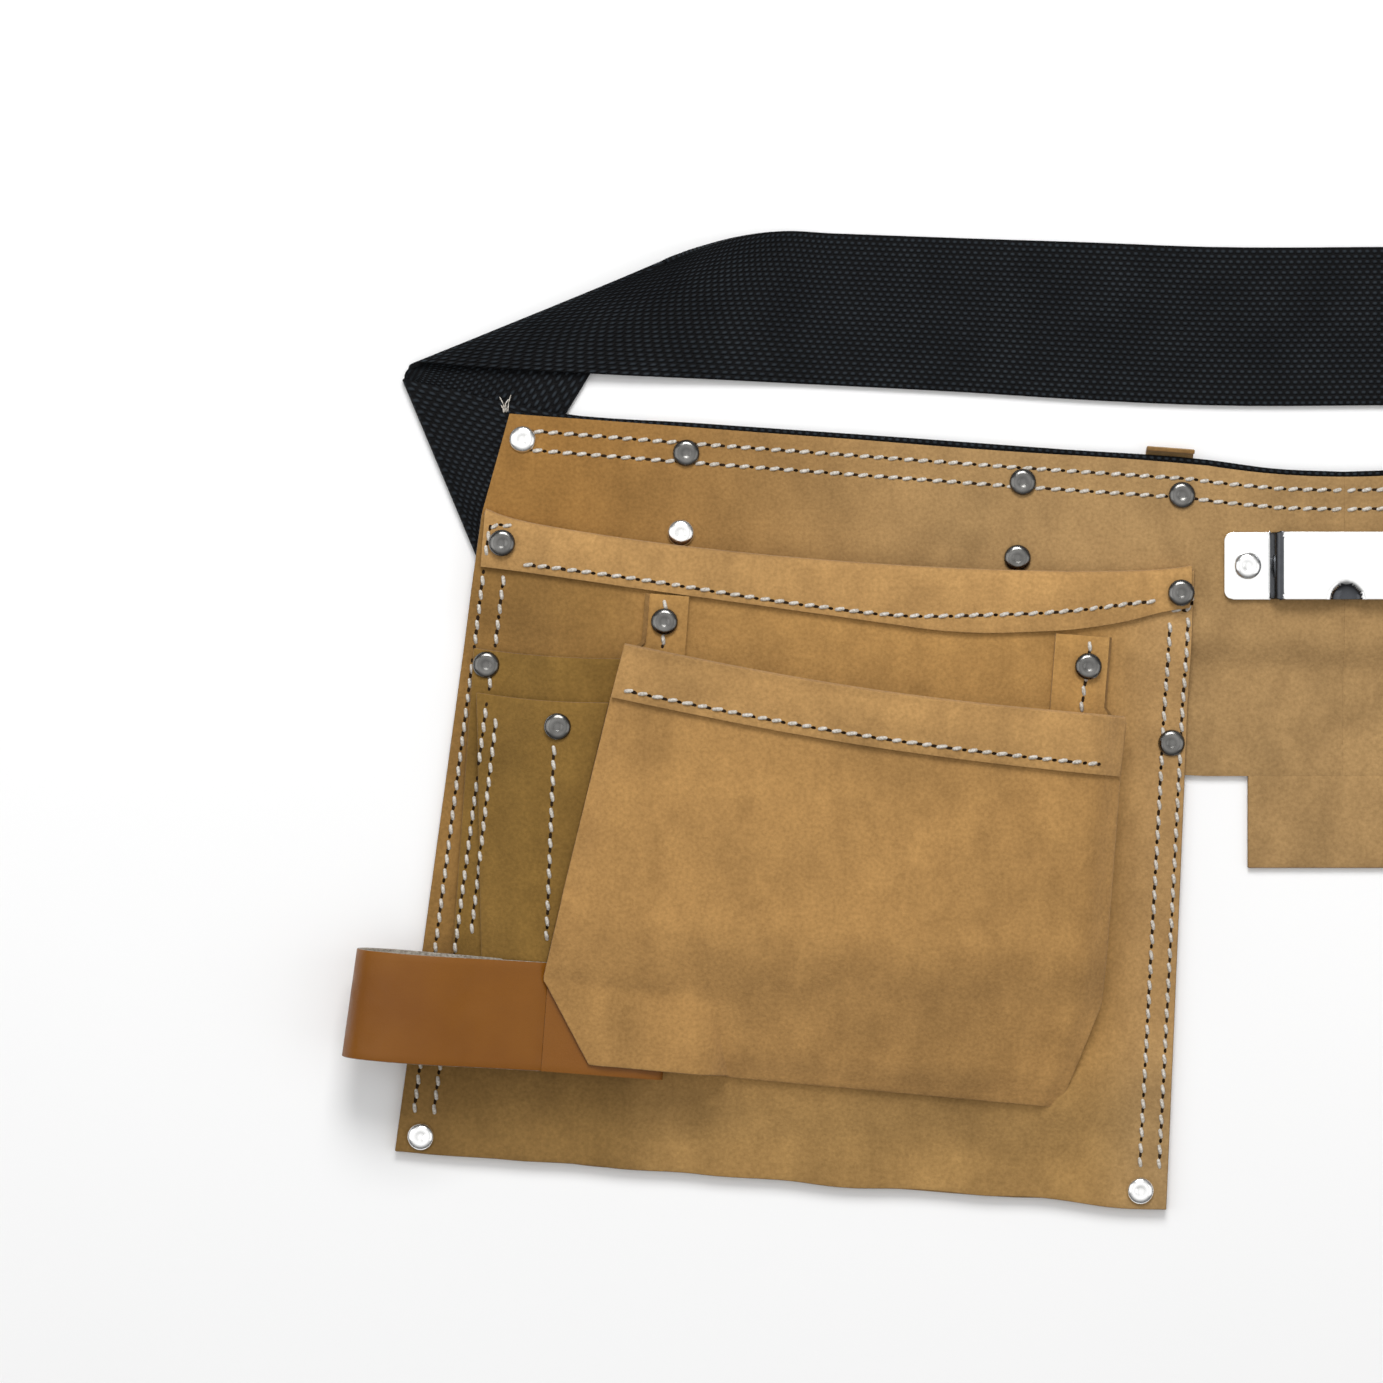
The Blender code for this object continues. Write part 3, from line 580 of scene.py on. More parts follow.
def tongue():
    """The flap below the clip plate, cut in one with the blank; the belt's flap is free to lift, but this
    sheet is not attached to a body.
    """
    rows = []
    for y in (blend(TONGUE_TOP, TONGUE_BOTTOM, t) for t in fractions(14)):
        rows.append([(blend(-TONGUE_HALF, TONGUE_HALF, s), y, 0.0) for s in fractions(28)])
    thing = sheet_of("tongue", [rows], -1, LEATHER, ["blank", "cut"])
    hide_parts("centre_tongue")
    return thing


def main_pocket(side):
    name = SIDES[side]
    rows = []
    for t in fractions(grid_size(MOUTH_V - BOTTOM_V)):
        row = []
        for s in fractions(grid_size(230.0)):
            u = blend(*side_edges(blend(MOUTH_V, BOTTOM_V, t)), s)
            v = blend(mouth_v(u), BOTTOM_V, t)
            pulled = v + (1.8 * ripple(u, 0.0, 30.0, 11.0) if t == 1.0 else 0.0)
            pucker = -0.22 * seam_dip(u, v)
            row.append(to_world(u, pulled, soft_main(u, v) + pucker, side))
        rows.append(row)
    thing = sheet_of(name + "_main_front", [rows], side, LEATHER, ["main", "cut"])
    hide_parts(name + "_main_pocket")
    return thing


def seam_dip(u, v):
    """1 on a side seam's two stitch rows and 0 away from them."""
    left, right = side_edges(v)
    rows = (left + 2.4, left + 8.2, right - 2.6, right - 8.6)
    return max(math.exp(-(((u - at) / 1.3) ** 2)) for at in rows)


# The two hems' thicknesses, the depth inside the roll, and the share of a hem's rows in the roll
MAIN_HEM, OUTER_HEM, ROLL_DEPTH, ROLLED = 1.7, 1.6, 0.6, 0.28


def main_hem(side):
    """The main pocket's hem: its edge rolls over and lies back on the face down to the hem line."""
    rows = []
    for r in fractions(14):
        row = []
        for s in fractions(grid_size(223.0, 1.8)):
            u = blend(-113.2, 110.2, s)
            edge_v = mouth_v(u)
            if r < ROLLED:
                turn = math.pi * (r / ROLLED)
                radius = 0.5 * (ROLL_DEPTH + MAIN_HEM)
                v = edge_v + 1.1 * math.sin(turn)
                z = top_of(soft_main, u, edge_v) - LEATHER * 0.5 - radius * math.cos(turn) + 0.45 * radius
            else:
                down = (r - ROLLED) / (1.0 - ROLLED)
                v = blend(edge_v, on_line(HEM_LINE, u), down)
                puff = 0.7 * math.sin(math.pi * down) + 0.25 * ripple(u, v, 9.0, 2.0)
                ends = smooth(down * 5) * smooth((1 - down) * 4)
                z = top_of(soft_main, u, v) + 0.1 + 0.5 * MAIN_HEM + puff * ends
            row.append(to_world(u, v, z, side))
        rows.append(row)
    return sheet_of(SIDES[side] + "_main_hem", [rows], side, MAIN_HEM, ["hem", "cut"], offset=0.0)


def outer_front(side):
    name = SIDES[side]
    rows = []
    for t in fractions(grid_size(128.0, 1.8)):
        rows.append([to_world(*soft_outer(s, t), side) for s in fractions(grid_size(165.0, 1.8))])
    thing = sheet_of(name + "_outer_front", [rows], side, LEATHER, ["outer", "cut"])
    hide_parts(name + "_outer_pocket")
    return thing


def outer_hem(side):
    """The outer pocket's folded top edge, which follows the pocket's own face."""
    name = SIDES[side]
    rows = []
    for r in fractions(14):
        row = []
        for s in fractions(grid_size(160.0, 1.8)):
            down = max(0.0, (r - ROLLED) / (1.0 - ROLLED))
            u, v, z = soft_outer(s, 0.12 * down)
            if r < ROLLED:
                turn = math.pi * (r / ROLLED)
                v += 1.1 * math.sin(turn)
                z += 0.9 - 1.9 * math.cos(turn) + 0.8
            else:
                puff = 0.6 * math.sin(math.pi * down) + 0.2 * ripple(u, v, 9.0, 8.0)
                ends = smooth(down * 5) * smooth((1 - down) * 4)
                z += LEATHER + 0.1 + 0.5 * OUTER_HEM + puff * ends
            row.append(to_world(u, v, z, side))
        rows.append(row)
    return sheet_of(name + "_outer_hem", [rows], side, OUTER_HEM, ["hem", "cut"], offset=0.0)


def tool_back_height(u, v):
    return top_of(soft_main, u, v) + SHEET_GAP + 0.5 * smooth((v + 110.0) / 20.0)


def tool_front_height(u, v):
    return top_of(tool_back_height, u, v) + SHEET_GAP + 1.5 * smooth((v + 165.0) / 60.0)


TOOL_POCKETS = {
    "tool_pocket_back": (((-113.5, -113.0), (-66.5, -82.0), (-74.5, -173.0)), tool_back_height),
    "tool_pocket_front": (((-111.5, -103.0), (-69.5, -83.0), (-88.5, -172.0)), tool_front_height),
}


def tool_pocket(side, label):
    name = SIDES[side]
    ((left_top, left_bottom), (right_top, right_bottom), (top, bottom)), height = TOOL_POCKETS[label]
    rows = []
    for t in fractions(grid_size(top - bottom)):
        v = blend(top, bottom, t)
        left, right = blend(left_top, left_bottom, t), blend(right_top, right_bottom, t)
        row = []
        for s in fractions(grid_size(right_top - left_top)):
            u = blend(left, right, s)
            sag = 0.9 * math.sin(math.pi * s) * smooth((0.25 - t) / 0.25)
            wave = 0.35 * ripple(u, v, 20.0, 13.0) * math.sin(math.pi * s)
            row.append(to_world(u, v - sag, height(u, v) + wave + 0.25 * sag, side))
        rows.append(row)
    thing = sheet_of(f"{name}_{label}_detail", [rows], side, LEATHER, ["tool", "cut"])
    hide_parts(f"{name}_{label}")
    return thing


# How far the gusset's tab is set in, how high its free edge stands, and its leather
TAB_INSET, LIP_RISE, THIN_LEATHER = 3.5, 2.6, 1.3


def gusset(side, label, inwards, top_v, far):
    """The leather strip between the main pocket and a side of the outer one, with its riveted tab."""
    name = SIDES[side]
    s = 0.0 if inwards > 0 else 1.0
    rows = []
    edge_u, edge_v, _ = outer_point(s, 0.0)
    for v in (blend(top_v, edge_v, t) for t in fractions(6)[:-1]):
        u = edge_u + inwards * TAB_INSET
        rows.append(gusset_row(u, v, top_of(soft_main, u, v) + LIP_RISE, inwards, far - TAB_INSET))
    for t in fractions(34):
        u, v, face = outer_point(s, 0.74 * t)
        rolled = turned_edge(0.02, 0.0)
        wall = face - rolled if v > -150.0 or inwards < 0 else face - 0.6
        open_up = smooth(t * 30.0)
        low = top_of(soft_main, u, v) + LIP_RISE
        rows.append(gusset_row(u, v, blend(low, max(low, wall - 0.9), open_up), inwards, far))
    flip = side if inwards < 0 else -side
    thing = sheet_of(f"{name}_{label}_detail", [to_rows(rows, side)], flip, THIN_LEATHER, ["main", "cut"])
    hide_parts(f"{name}_{label}")
    return thing


def gusset_row(u, v, wall_top, inwards, far):
    """Across the strip: flat on the main pocket, round a soft corner, then up the wall."""
    row = []
    for d in (far, 0.8 * far, 0.6 * far, 0.42 * far, 0.29 * far, 0.2 * far):
        x = u + inwards * d
        row.append((x, v, top_of(soft_main, x, v) + SHEET_GAP))
    base = row[-1][2]
    for turn, out in ((0.15, 2.6), (0.4, 2.1), (0.7, 1.8), (1.0, 1.7)):
        row.append((u + inwards * out, v, blend(base, max(base + 0.4, wall_top), turn**1.3)))
    return row


def to_rows(rows, side):
    return [[to_world(u, v, z, side) for u, v, z in row] for row in rows]


def hammer_loop(side):
    """The russet strap of the hammer loop: its free loop, and the anchor that the outer pocket covers."""
    name = SIDES[side]
    low, high = LOOP_HINGE_Z - 4.6, LOOP_HINGE_Z - 1.2
    near, meets = LOOP_HINGE_U + 2.2, LOOP_HINGE_U + 2.4
    free = [(near, low), (-100.0, low), (-118.0, low - 3.5), (-134.0, low - 5.0), (-140.5, low - 2.0)]
    free += [(-142.5, low + 3.5), (-140.0, low + 9.5), (-133.0, low + 13.0), (-118.0, low + 13.5)]
    free += [(-102.0, low + 8.5), (near, high)]
    anchor = [(meets, low), (-64.0, low), (-48.0, low), (-45.2, low + 0.7)]
    anchor += [(-45.2, high - 0.7), (-48.0, high), (-64.0, high), (meets, high)]
    made = []
    for label, profile in (("hammer_loop", free[::-1]), ("hammer_loop_anchor", anchor)):
        path = spline(profile, 6)
        rows = []
        for t in fractions(14):
            v = LOOP_V + LOOP_WIDTH * (0.5 - t)
            lean = 2.2 * (0.5 - t)
            rows.append([(u + lean * smooth((LOOP_HINGE_U - u) / 30.0), v, z) for u, z in path])
        thing = strap(f"{name}_{label}_detail", to_rows(rows, side), side, 2.0, ["flesh", "russet"])
        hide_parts(f"{name}_{label}")
        made.append(thing)
    return made


def spline(points, steps):
    """A smooth curve through points of two or three numbers, which doesn't overshoot where they bunch."""
    gaps = [max(1e-6, math.dist(a, b)) for a, b in zip(points, points[1:])]
    runs = [[(q - p) / gap for p, q in zip(a, b)] for a, b, gap in zip(points, points[1:], gaps)]
    slopes = [runs[0]]
    for before, after, gap, following in zip(runs, runs[1:], gaps, gaps[1:]):
        slopes.append([(p * following + q * gap) / (gap + following) for p, q in zip(before, after)])
    slopes.append(runs[-1])
    out = []
    for a, b, gap, m, n in zip(points, points[1:], gaps, slopes, slopes[1:]):
        for i in range(steps):
            t = i / steps
            leave, arrive = t * (1 - t) ** 2 * gap, t * t * (t - 1) * gap
            out.append(tuple(
                blend(p, q, smooth(t)) + leave * u + arrive * w for p, q, u, w in zip(a, b, m, n)
            ))
    out.append(tuple(points[-1]))
    return out


def strap(name, rows, side, thickness, slots):
    """A strap with one finish on its outer face and another on its inner face."""
    made = bmesh.new()
    lattice(made, rows, side > 0)
    thing = mesh_object(name, made, slots)
    thicken(thing, thickness).material_offset = 1
    round_edges(thing, 0.3, 50)
    return applied(thing)


def belt_loops(side):
    """The strips behind the webbing and the keeper that hooks over the top edge."""
    name = SIDES[side]
    made = []
    for label, middle in (("outer_belt_loop", -51.3), ("inner_belt_loop", 55.1)):
        rows = []
        for t in fractions(24):
            v = blend(1.0, -50.5, t)
            row = [(middle + blend(-13.0, 13.0, s), v, 0.05 * ripple(s, v, 7.0)) for s in fractions(12)]
            rows.append(row)
        thing = sheet_of(f"{name}_{label}_detail", [to_rows(rows, side)], side, 1.4, ["centre", "cut"])
        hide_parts(f"{name}_{label}")
        made.append(thing)
    path = spline([(4.0, 5.6), (4.3, 3.6), (3.4, 1.4), (1.0, 0.72), (-20.0, 0.7), (-49.0, 0.7)], 5)
    lowest = 0.5 * THIN_LEATHER + 0.01
    rows = [[(blend(93.5, 108.5, s), v, max(lowest, z)) for s in fractions(8)] for v, z in path]
    rows = to_rows(rows, side)
    thing = sheet_of(name + "_keeper_detail", [rows], side, THIN_LEATHER, ["centre", "cut"], offset=0.0)
    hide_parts(name + "_belt_keeper")
    made.append(thing)
    return made


# ------ webbing


FRONT_RUN = [
    ((0.0, 79.8, 2.55), (0.0, 29.8, 2.55)),
    ((-22.0, 80.8, 2.55), (-22.0, 30.8, 2.55)),
    ((-43.0, 83.6, 2.55), (-43.0, 33.6, 2.55)),
    ((-90.0, 87.0, 2.55), (-92.0, 37.2, 2.55)),
    ((-140.0, 90.7, 2.55), (-143.0, 40.8, 2.55)),
    ((-203.0, 95.1, 2.55), (-207.5, 45.3, 2.55)),
    ((-250.0, 98.6, 2.55), (-257.0, 49.0, 2.55)),
    ((-287.0, 106.9, 2.55), (-269.2, 52.2, 2.55)),
    ((-293.6, 108.3, 2.55), (-271.6, 53.0, 2.55)),
    ((-295.9, 108.9, 2.45), (-272.6, 53.4, 2.45)),
]
FIRST_FOLD = [((-296.5, 108.9, 1.65), (-273.3, 53.4, 1.65)), ((-296.7, 109.4, 0.85), (-272.7, 53.7, 0.85))]
RISING_RUN = [
    ((-296.7, 109.9, 0.75), (-270.0, 58.5, 0.75)),
    ((-296.6, 110.5, 0.75), (-259.4, 76.0, 0.75)),
    ((-296.4, 111.1, 0.75), (-245.9, 97.9, 0.75)),
    ((-296.1, 111.7, 0.75), (-233.0, 119.0, 0.75)),
    ((-295.7, 112.2, 0.75), (-223.6, 134.6, 0.9)),
    ((-295.2, 112.7, 0.9), (-222.0, 138.8, 1.4)),
]
ROLL = [
    ((-294.6, 113.1, 1.4), (-221.4, 141.2, 2.9)),
    ((-293.7, 113.5, 2.2), (-220.6, 142.6, 5.2)),
    ((-292.3, 113.9, 3.0), (-218.6, 143.6, 7.4)),
    ((-289.6, 114.1, 3.4), (-215.6, 145.0, 8.6)),
]
BACK_RUN = [
    ((-280.5, 113.4, 3.3), (-210.0, 147.6, 8.9)),
    ((-255.0, 111.8, 3.0), (-201.0, 150.9, 7.6)),
    ((-225.0, 110.2, 2.4), (-190.0, 154.0, 5.2)),
    ((-197.0, 109.0, 1.5), (-177.0, 155.9, 2.2)),
    ((-172.0, 107.8, 0.75), (-162.0, 155.3, 0.75)),
]
BACK_END = [
    ((-118.0, 105.0, 0.75), (-116.0, 153.6, 0.75)),
    ((-80.0, 102.6, 0.75), (-80.0, 152.4, 0.75)),
    ((-43.0, 101.0, 0.75), (-43.0, 151.0, 0.75)),
    ((BACK_SEAM_X, 101.0, 0.75), (BACK_SEAM_X, 151.0, 0.75)),
]
HOUSING_BAR = [
    (50.0, 0.75), (34.6, 0.75), (33.2, 2.0), (33.2, 6.0), (34.6, 7.2), (46.0, 7.2), (53.0, 3.6),
    (58.0, 3.2),
]
PLUG_BAR = [
    (-32.4, 0.75), (-18.2, 0.75), (-16.9, 2.0), (-16.9, 6.4), (-18.2, 7.6), (-33.0, 7.6), (-41.0, 3.6),
    (-58.0, 2.9),
]


def at_buckle(x, y, z):
    world_x = BUCKLE_X + x * math.cos(BUCKLE_TURN) - y * math.sin(BUCKLE_TURN)
    return world_x, BUCKLE_Y + x * math.sin(BUCKLE_TURN) + y * math.cos(BUCKLE_TURN), z


def webbing_strip(name, stations, side, steps=5):
    """A woven strip through pairs of edge points, with its length and width in its UVs, in metres."""
    edge_a = spline([a for a, _ in stations], steps)
    edge_b = spline([b for _, b in stations], steps)
    columns = fractions(16)
    made = bmesh.new()
    rows = []
    for a, b in zip(edge_a, edge_b):
        row = []
        for s in columns:
            x, y, z = (blend(p, q, s) for p, q in zip(a, b))
            row.append((side * -x, y, max(0.5 * WEBBING, z)))
        rows.append(row)
    verts = lattice(made, rows, side > 0)
    uv_layer = made.loops.layers.uv.new("UVMap")
    travelled = [0.0]
    for (a0, b0), (a1, b1) in zip(zip(edge_a, edge_b), zip(edge_a[1:], edge_b[1:])):
        middle = 0.5 * ((Vector(a1) + Vector(b1)) - (Vector(a0) + Vector(b0)))
        travelled.append(travelled[-1] + middle.length)
    place = {}
    for row, length in zip(verts, travelled):
        for vert, s in zip(row, columns):
            place[vert] = (length * MM, s * WEBBING_WIDTH * MM)
    for face in made.faces:
        for loop in face.loops:
            loop[uv_layer].uv = place[loop.vert]
    thing = mesh_object(name, made, ["web"])
    thicken(thing, WEBBING)
    round_edges(thing, 0.45, 60)
    return applied(thing)


def buckle_stations(path):
    """Stations on the buckle's own frame, mirrored because every strip is drawn on the left side."""
    stations = []
    for x, z in path:
        edges = [at_buckle(x, y, z) for y in (-WEBBING_WIDTH / 2, WEBBING_WIDTH / 2)]
        stations.append(tuple((-px, py, pz) for px, py, pz in edges))
    return stations


def webbing():
    route = FRONT_RUN + FIRST_FOLD + RISING_RUN + ROLL + BACK_RUN
    left = webbing_strip("left_webbing_detail", route + BACK_END, -1)
    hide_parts("webbing_left", "webbing_front_centre", "webbing_back_centre")
    across_fold(left)
    right = webbing_strip("right_webbing_detail", route + buckle_stations(HOUSING_BAR), 1)
    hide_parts("webbing_right")
    across_fold(right)
    start = [((-x, 101.0, 0.75), (-x, 151.0, 0.75)) for x in (BACK_SEAM_X, 30.0)]
    start += [((-48.0, 101.2, 0.75), (-48.0, 151.1, 0.75))]
    inner = webbing_strip("plug_webbing_inner", start, 1, 8)
    across_fold(inner)
    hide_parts("webbing_plug_run")
    join = buckle_stations([(-33.2, 0.75)])[0]
    halfway = tuple(tuple(blend(p, q, 0.5) for p, q in zip(a, b)) for a, b in zip(start[-1], join))
    reach = [start[-1], halfway, join]
    outer = webbing_strip("plug_webbing_outer", reach, 1, 8)
    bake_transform(outer)
    tail = webbing_strip("webbing_tail_detail", buckle_stations(PLUG_BAR), 1)
    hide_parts("webbing_tail")
    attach(tail, "buckle_plug")


def across_fold(thing):
    """Bakes a finished piece's placement into its mesh, without bending it over the fold line between the
    belt's middle and one half.
    """
    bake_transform(thing)


# ------ seams and rivets


class Surface:
    """Finds the top of a group of pieces from above, for what is sewn or riveted on them."""

    def __init__(self, things):
        self.trees = []
        for thing in things:
            verts = [thing.matrix_world @ v.co for v in thing.data.vertices]
            faces = [tuple(p.vertices) for p in thing.data.polygons]
            self.trees.append(BVHTree.FromPolygons(verts, faces))

    def top(self, x, y):
        """The highest point, in metres, at a place in millimetres."""
        best = None
        for tree in self.trees:
            hit, _, _, _ = tree.ray_cast(Vector((x * MM, y * MM, 0.2)), Vector((0.0, 0.0, -1.0)))
            if hit and (best is None or hit.z > best.z):
                best = hit
        return best


# A stitch along its length: the share of it, how thick it is and how far it stands up, in radii
STITCH_SHAPE = [
    (0.0, 0.35, -0.75), (0.15, 0.9, 0.05), (0.5, 1.1, 0.55), (0.85, 0.9, 0.05), (1.0, 0.35, -0.75),
]


def stitch(made, a, b, radius=STITCH_R * MM):
    """One stitch from a to b, in metres: a short thread that dives into the leather at both ends."""
    along_it = b - a
    length = along_it.length
    if length < 1e-6:
        return
    direction = along_it / length
    side_way = direction.cross(Vector((0.0, 0.0, 1.0))).normalized()
    up = side_way.cross(direction)
    rings = []
    for t, thick, lift in STITCH_SHAPE:
        centre = a + along_it * t + up * (lift * radius)
        ring = []
        for k in range(6):
            angle = 2 * math.pi * k / 6
            offset = side_way * math.cos(angle) * 1.15 + up * math.sin(angle) * 0.85
            ring.append(made.verts.new(centre + offset * (radius * thick)))
        rings.append(ring)
    for lower, upper in zip(rings, rings[1:]):
        for k in range(6):
            made.faces.new((lower[k], lower[(k + 1) % 6], upper[(k + 1) % 6], upper[k]))
    made.faces.new(rings[0][::-1])
    made.faces.new(rings[-1])


def sew(made, holes, surface, line, seed):
    """A row of stitches along a line of world (x, y) points, on top of the surface."""
    steps = []
    for a, b in zip(line, line[1:]):
        length = math.dist(a, b)
        count = max(1, int(length / 0.5))
        steps += [(blend(a[0], b[0], i / count), blend(a[1], b[1], i / count)) for i in range(count)]
    steps.append(line[-1])
    travelled = [0.0]
    for a, b in zip(steps, steps[1:]):
        travelled.append(travelled[-1] + math.dist(a, b))

    def at(distance):
        for i, total in enumerate(travelled):
            if total >= distance:
                return steps[i]
        return steps[-1]

    count = max(1, round(travelled[-1] / STITCH_PITCH))
    pitch = travelled[-1] / count
    for number in range(count):
        start = (number + 0.5) * pitch - 0.5 * STITCH_LENGTH + 0.2 * ripple(number * pitch, seed, 3.0)
        (x0, y0), (x1, y1) = at(start), at(start + STITCH_LENGTH)
        slant = Vector((y1 - y0, x0 - x1)).normalized() * STITCH_SLANT
        first, second = surface.top(x0 + slant.x, y0 + slant.y), surface.top(x1 - slant.x, y1 - slant.y)
        if first and second and abs(first.z - second.z) < 2.0 * MM:
            stitch(made, first, second)
            left, right = start - 0.5, start + STITCH_LENGTH - 0.3
            if number:
                needle_hole(holes, surface, at(left - 0.7), at(left + 0.3))
            if number < count - 1:
                needle_hole(holes, surface, at(right), at(right + 1.0))


HOLE_ALONG, HOLE_ACROSS, HOLE_RISE, HOLE_SIDES = 0.95, 0.62, 0.18, 10


def needle_hole(holes, surface, start, end):
    """The dark dent where the thread goes through, between two points of the row in millimetres; its
    darkness is painted shade in the hole.
    """
    run = Vector((end[0] - start[0], end[1] - start[1]))
    middle = (0.5 * (start[0] + end[0]), 0.5 * (start[1] + end[1]))
    centre = surface.top(*middle)
    if not centre or run.length < 0.1:
        return
    run.normalize()
    crown = holes.verts.new(centre + Vector((0.0, 0.0, HOLE_RISE * MM)))
    ring = []
    for k in range(HOLE_SIDES):
        angle = 2 * math.pi * k / HOLE_SIDES
        ahead, aside = HOLE_ALONG * math.cos(angle), HOLE_ACROSS * math.sin(angle)
        place = Vector((ahead * run.x - aside * run.y, ahead * run.y + aside * run.x, -0.05))
        ring.append(holes.verts.new(centre + place * MM))
    for a, b in zip(ring, ring[1:] + ring[:1]):
        holes.faces.new((crown, a, b))


def local_line(points, side):
    return [to_world(u, v, 0.0, side)[:2] for u, v in points]


def seams():
    """Every row of stitches on one pouch, as (u, v) points."""
    return [
        [(-111.9, -46.0), (-121.5, -223.0)],
        [(-105.6, -50.0), (-115.3, -223.0)],
        [(104.6, -49.0), (108.3, -223.0)],
        [(110.2, -47.0), (114.3, -223.0)],
        [(u, on_line(HEM_STITCHES, u)) for u in range(-101, 102, 3)],
        [(-54.6, -54.0), (-54.2, -59.0)],
        [(-54.0, -65.5), (-54.4, -73.0)],
        [(79.4, -57.0), (78.0, -81.0)],
        [(-85.6, -102.0), (-83.5, -165.0)],
        [(-104.5, -95.0), (-107.5, -165.0)],
        [(-103.2, -35.5), (-111.0, -35.5), (-111.6, -41.5), (-111.9, -46.0)],
        [(110.2, -34.0), (110.6, -39.0), (111.0, -46.0), (104.0, -46.2)],
    ]


def top_rows(side):
    """The two rows under the top edge, from the pouch's outer corner to the belt's middle."""
    rows = []
    for level in (-5.0, -11.0):
        outer = [(-105.5, level), (-50.0, level - 0.2), (55.0, level), (108.0, level + 0.5)]
        inner = [(side * x, y + level) for x, y in ((40.0, 81.2), (20.0, 79.3), (0.2, 78.8))]
        rows.append(local_line(outer, side) + inner)
    return rows


def outer_hem_stitches():
    line = []
    for s in fractions(40):
        u, v, _ = outer_point(blend(0.012, 0.985, s), 0.097)
        line.append((u, v))
    return line


def stitching(side, pieces):
    """All the thread of one side, with its needle holes."""
    name = SIDES[side]
    surface = Surface(pieces)
    made, holes = bmesh.new(), bmesh.new()
    lines = [local_line(line, side) for line in seams() + [outer_hem_stitches()]]
    for number, line in enumerate(lines + top_rows(side)):
        sew(made, holes, surface, line, number * 3.7)
    sewn = (("stitching", made, "thread", "thread"), ("needle_holes", holes, "hole", "suede"))
    for label, strands, finish, slot in sewn:
        thing = mesh_object(f"{name}_{label}", strands, [finish])
        across_fold(thing)


def turned(name, profile, centre, slots):
    """A turned piece from a profile of (radius, height) in millimetres, standing at centre in metres."""
    made = bmesh.new()
    verts = [made.verts.new((r * MM, 0.0, z * MM)) for r, z in profile]
    for a, b in zip(verts, verts[1:]):
        made.edges.new((a, b))
    outline = made.verts[:] + made.edges[:]
    bmesh.ops.spin(made, geom=outline, cent=(0, 0, 0), axis=(0, 0, 1), angle=2 * math.pi, steps=36)
    bmesh.ops.remove_doubles(made, verts=made.verts, dist=0.00001)
    bmesh.ops.recalc_face_normals(made, faces=made.faces)
    thing = mesh_object(name, made, slots)
    thing.data.set_sharp_from_angle(angle=math.radians(40))
    thing.location = centre
    return thing


# These rivets keep the bright nickel; every other rivet takes a darker copy of it, which paints in the dark
# reflections on its head.
BRIGHT_RIVETS = {f"{name}_{label}" for name in ("left", "right") for label in (
    "edge_rivet_1", "belt_loop_rivet_2", "bottom_rivet_1", "bottom_rivet_2",
)} | {"plate_rivet_1", "plate_rivet_2"}


def rivet_profile(shank):
    """A cap with a rolled rim, a shallow ring round its crown and a tubular shank under it."""
    cap = [(0.0, 0.92), (0.7, 0.94), (1.3, 1.06), (1.9, 1.24), (2.6, 1.26), (3.2, 1.12), (3.7, 0.86)]
    cap += [(4.05, 0.56), (4.2, 0.25), (4.1, 0.0), (3.6, -0.12)]
    return cap + [(1.3, -0.12), (1.3, -shank), (0.0, -shank)]


def rivet(name, x, y, z, shank, body, node=None):
    """A rivet head at a place in millimetres, seated at z in metres."""
    # Rivets outside BRIGHT_RIVETS get the darker nickel copy: painted dark reflection.
    finish = "nickel" if name.replace("_detail", "") in BRIGHT_RIVETS else "dull_nickel"
    thing = turned(name, rivet_profile(shank), (x * MM, y * MM, z), [finish])
    thing.rotation_euler = (0.05 * ripple(x, y, 7.0), 0.05 * ripple(y, x, 7.0), x)
    if node:
        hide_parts(node)
    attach(thing, body)


def body_of_node(node):
    for body, nodes in frame["record"]["behaviour"]["bodies"].items():
        if node in nodes:
            return body
    return None


HEM_LAYERS = 3.0 * MM


def cad_rivets():
    """A detailed rivet in the place of each one in the frame."""
    for node in frame["nodes"]:
        if "rivet" in node:
            low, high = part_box(node)
            x, y = 500.0 * (low[0] + high[0]), 500.0 * (low[1] + high[1])
            seat = high[2] - 1.7 * MM + (HEM_LAYERS if "mouth_rivet" in node else 0.0)
            shank = max(1.0, (seat - low[2]) / MM)
            rivet(node + "_detail", x, y, seat, shank, body_of_node(node), node)


EXTRA_RIVETS = [(-103.2, -7.8), (105.5, -9.8), (-109.2, -79.6), (-85.0, -97.2), (108.2, -88.0)]


def extra_rivets(side, pieces):
    name = SIDES[side]
    surface = Surface(pieces)
    for number, (u, v) in enumerate(EXTRA_RIVETS, 1):
        x, y, _ = to_world(u, v, 0.0, side)
        seats = [surface.top(x + dx, y + dy) for dx, dy in ((0, 0), (3, 0), (-3, 0), (0, 3), (0, -3))]
        seat = sum(hit.z for hit in seats if hit) / sum(1 for hit in seats if hit)
        rivet(f"{name}_edge_rivet_{number}", x, y, seat + 0.2 * MM, 1.2, f"{name}_half")


# ------ hardware


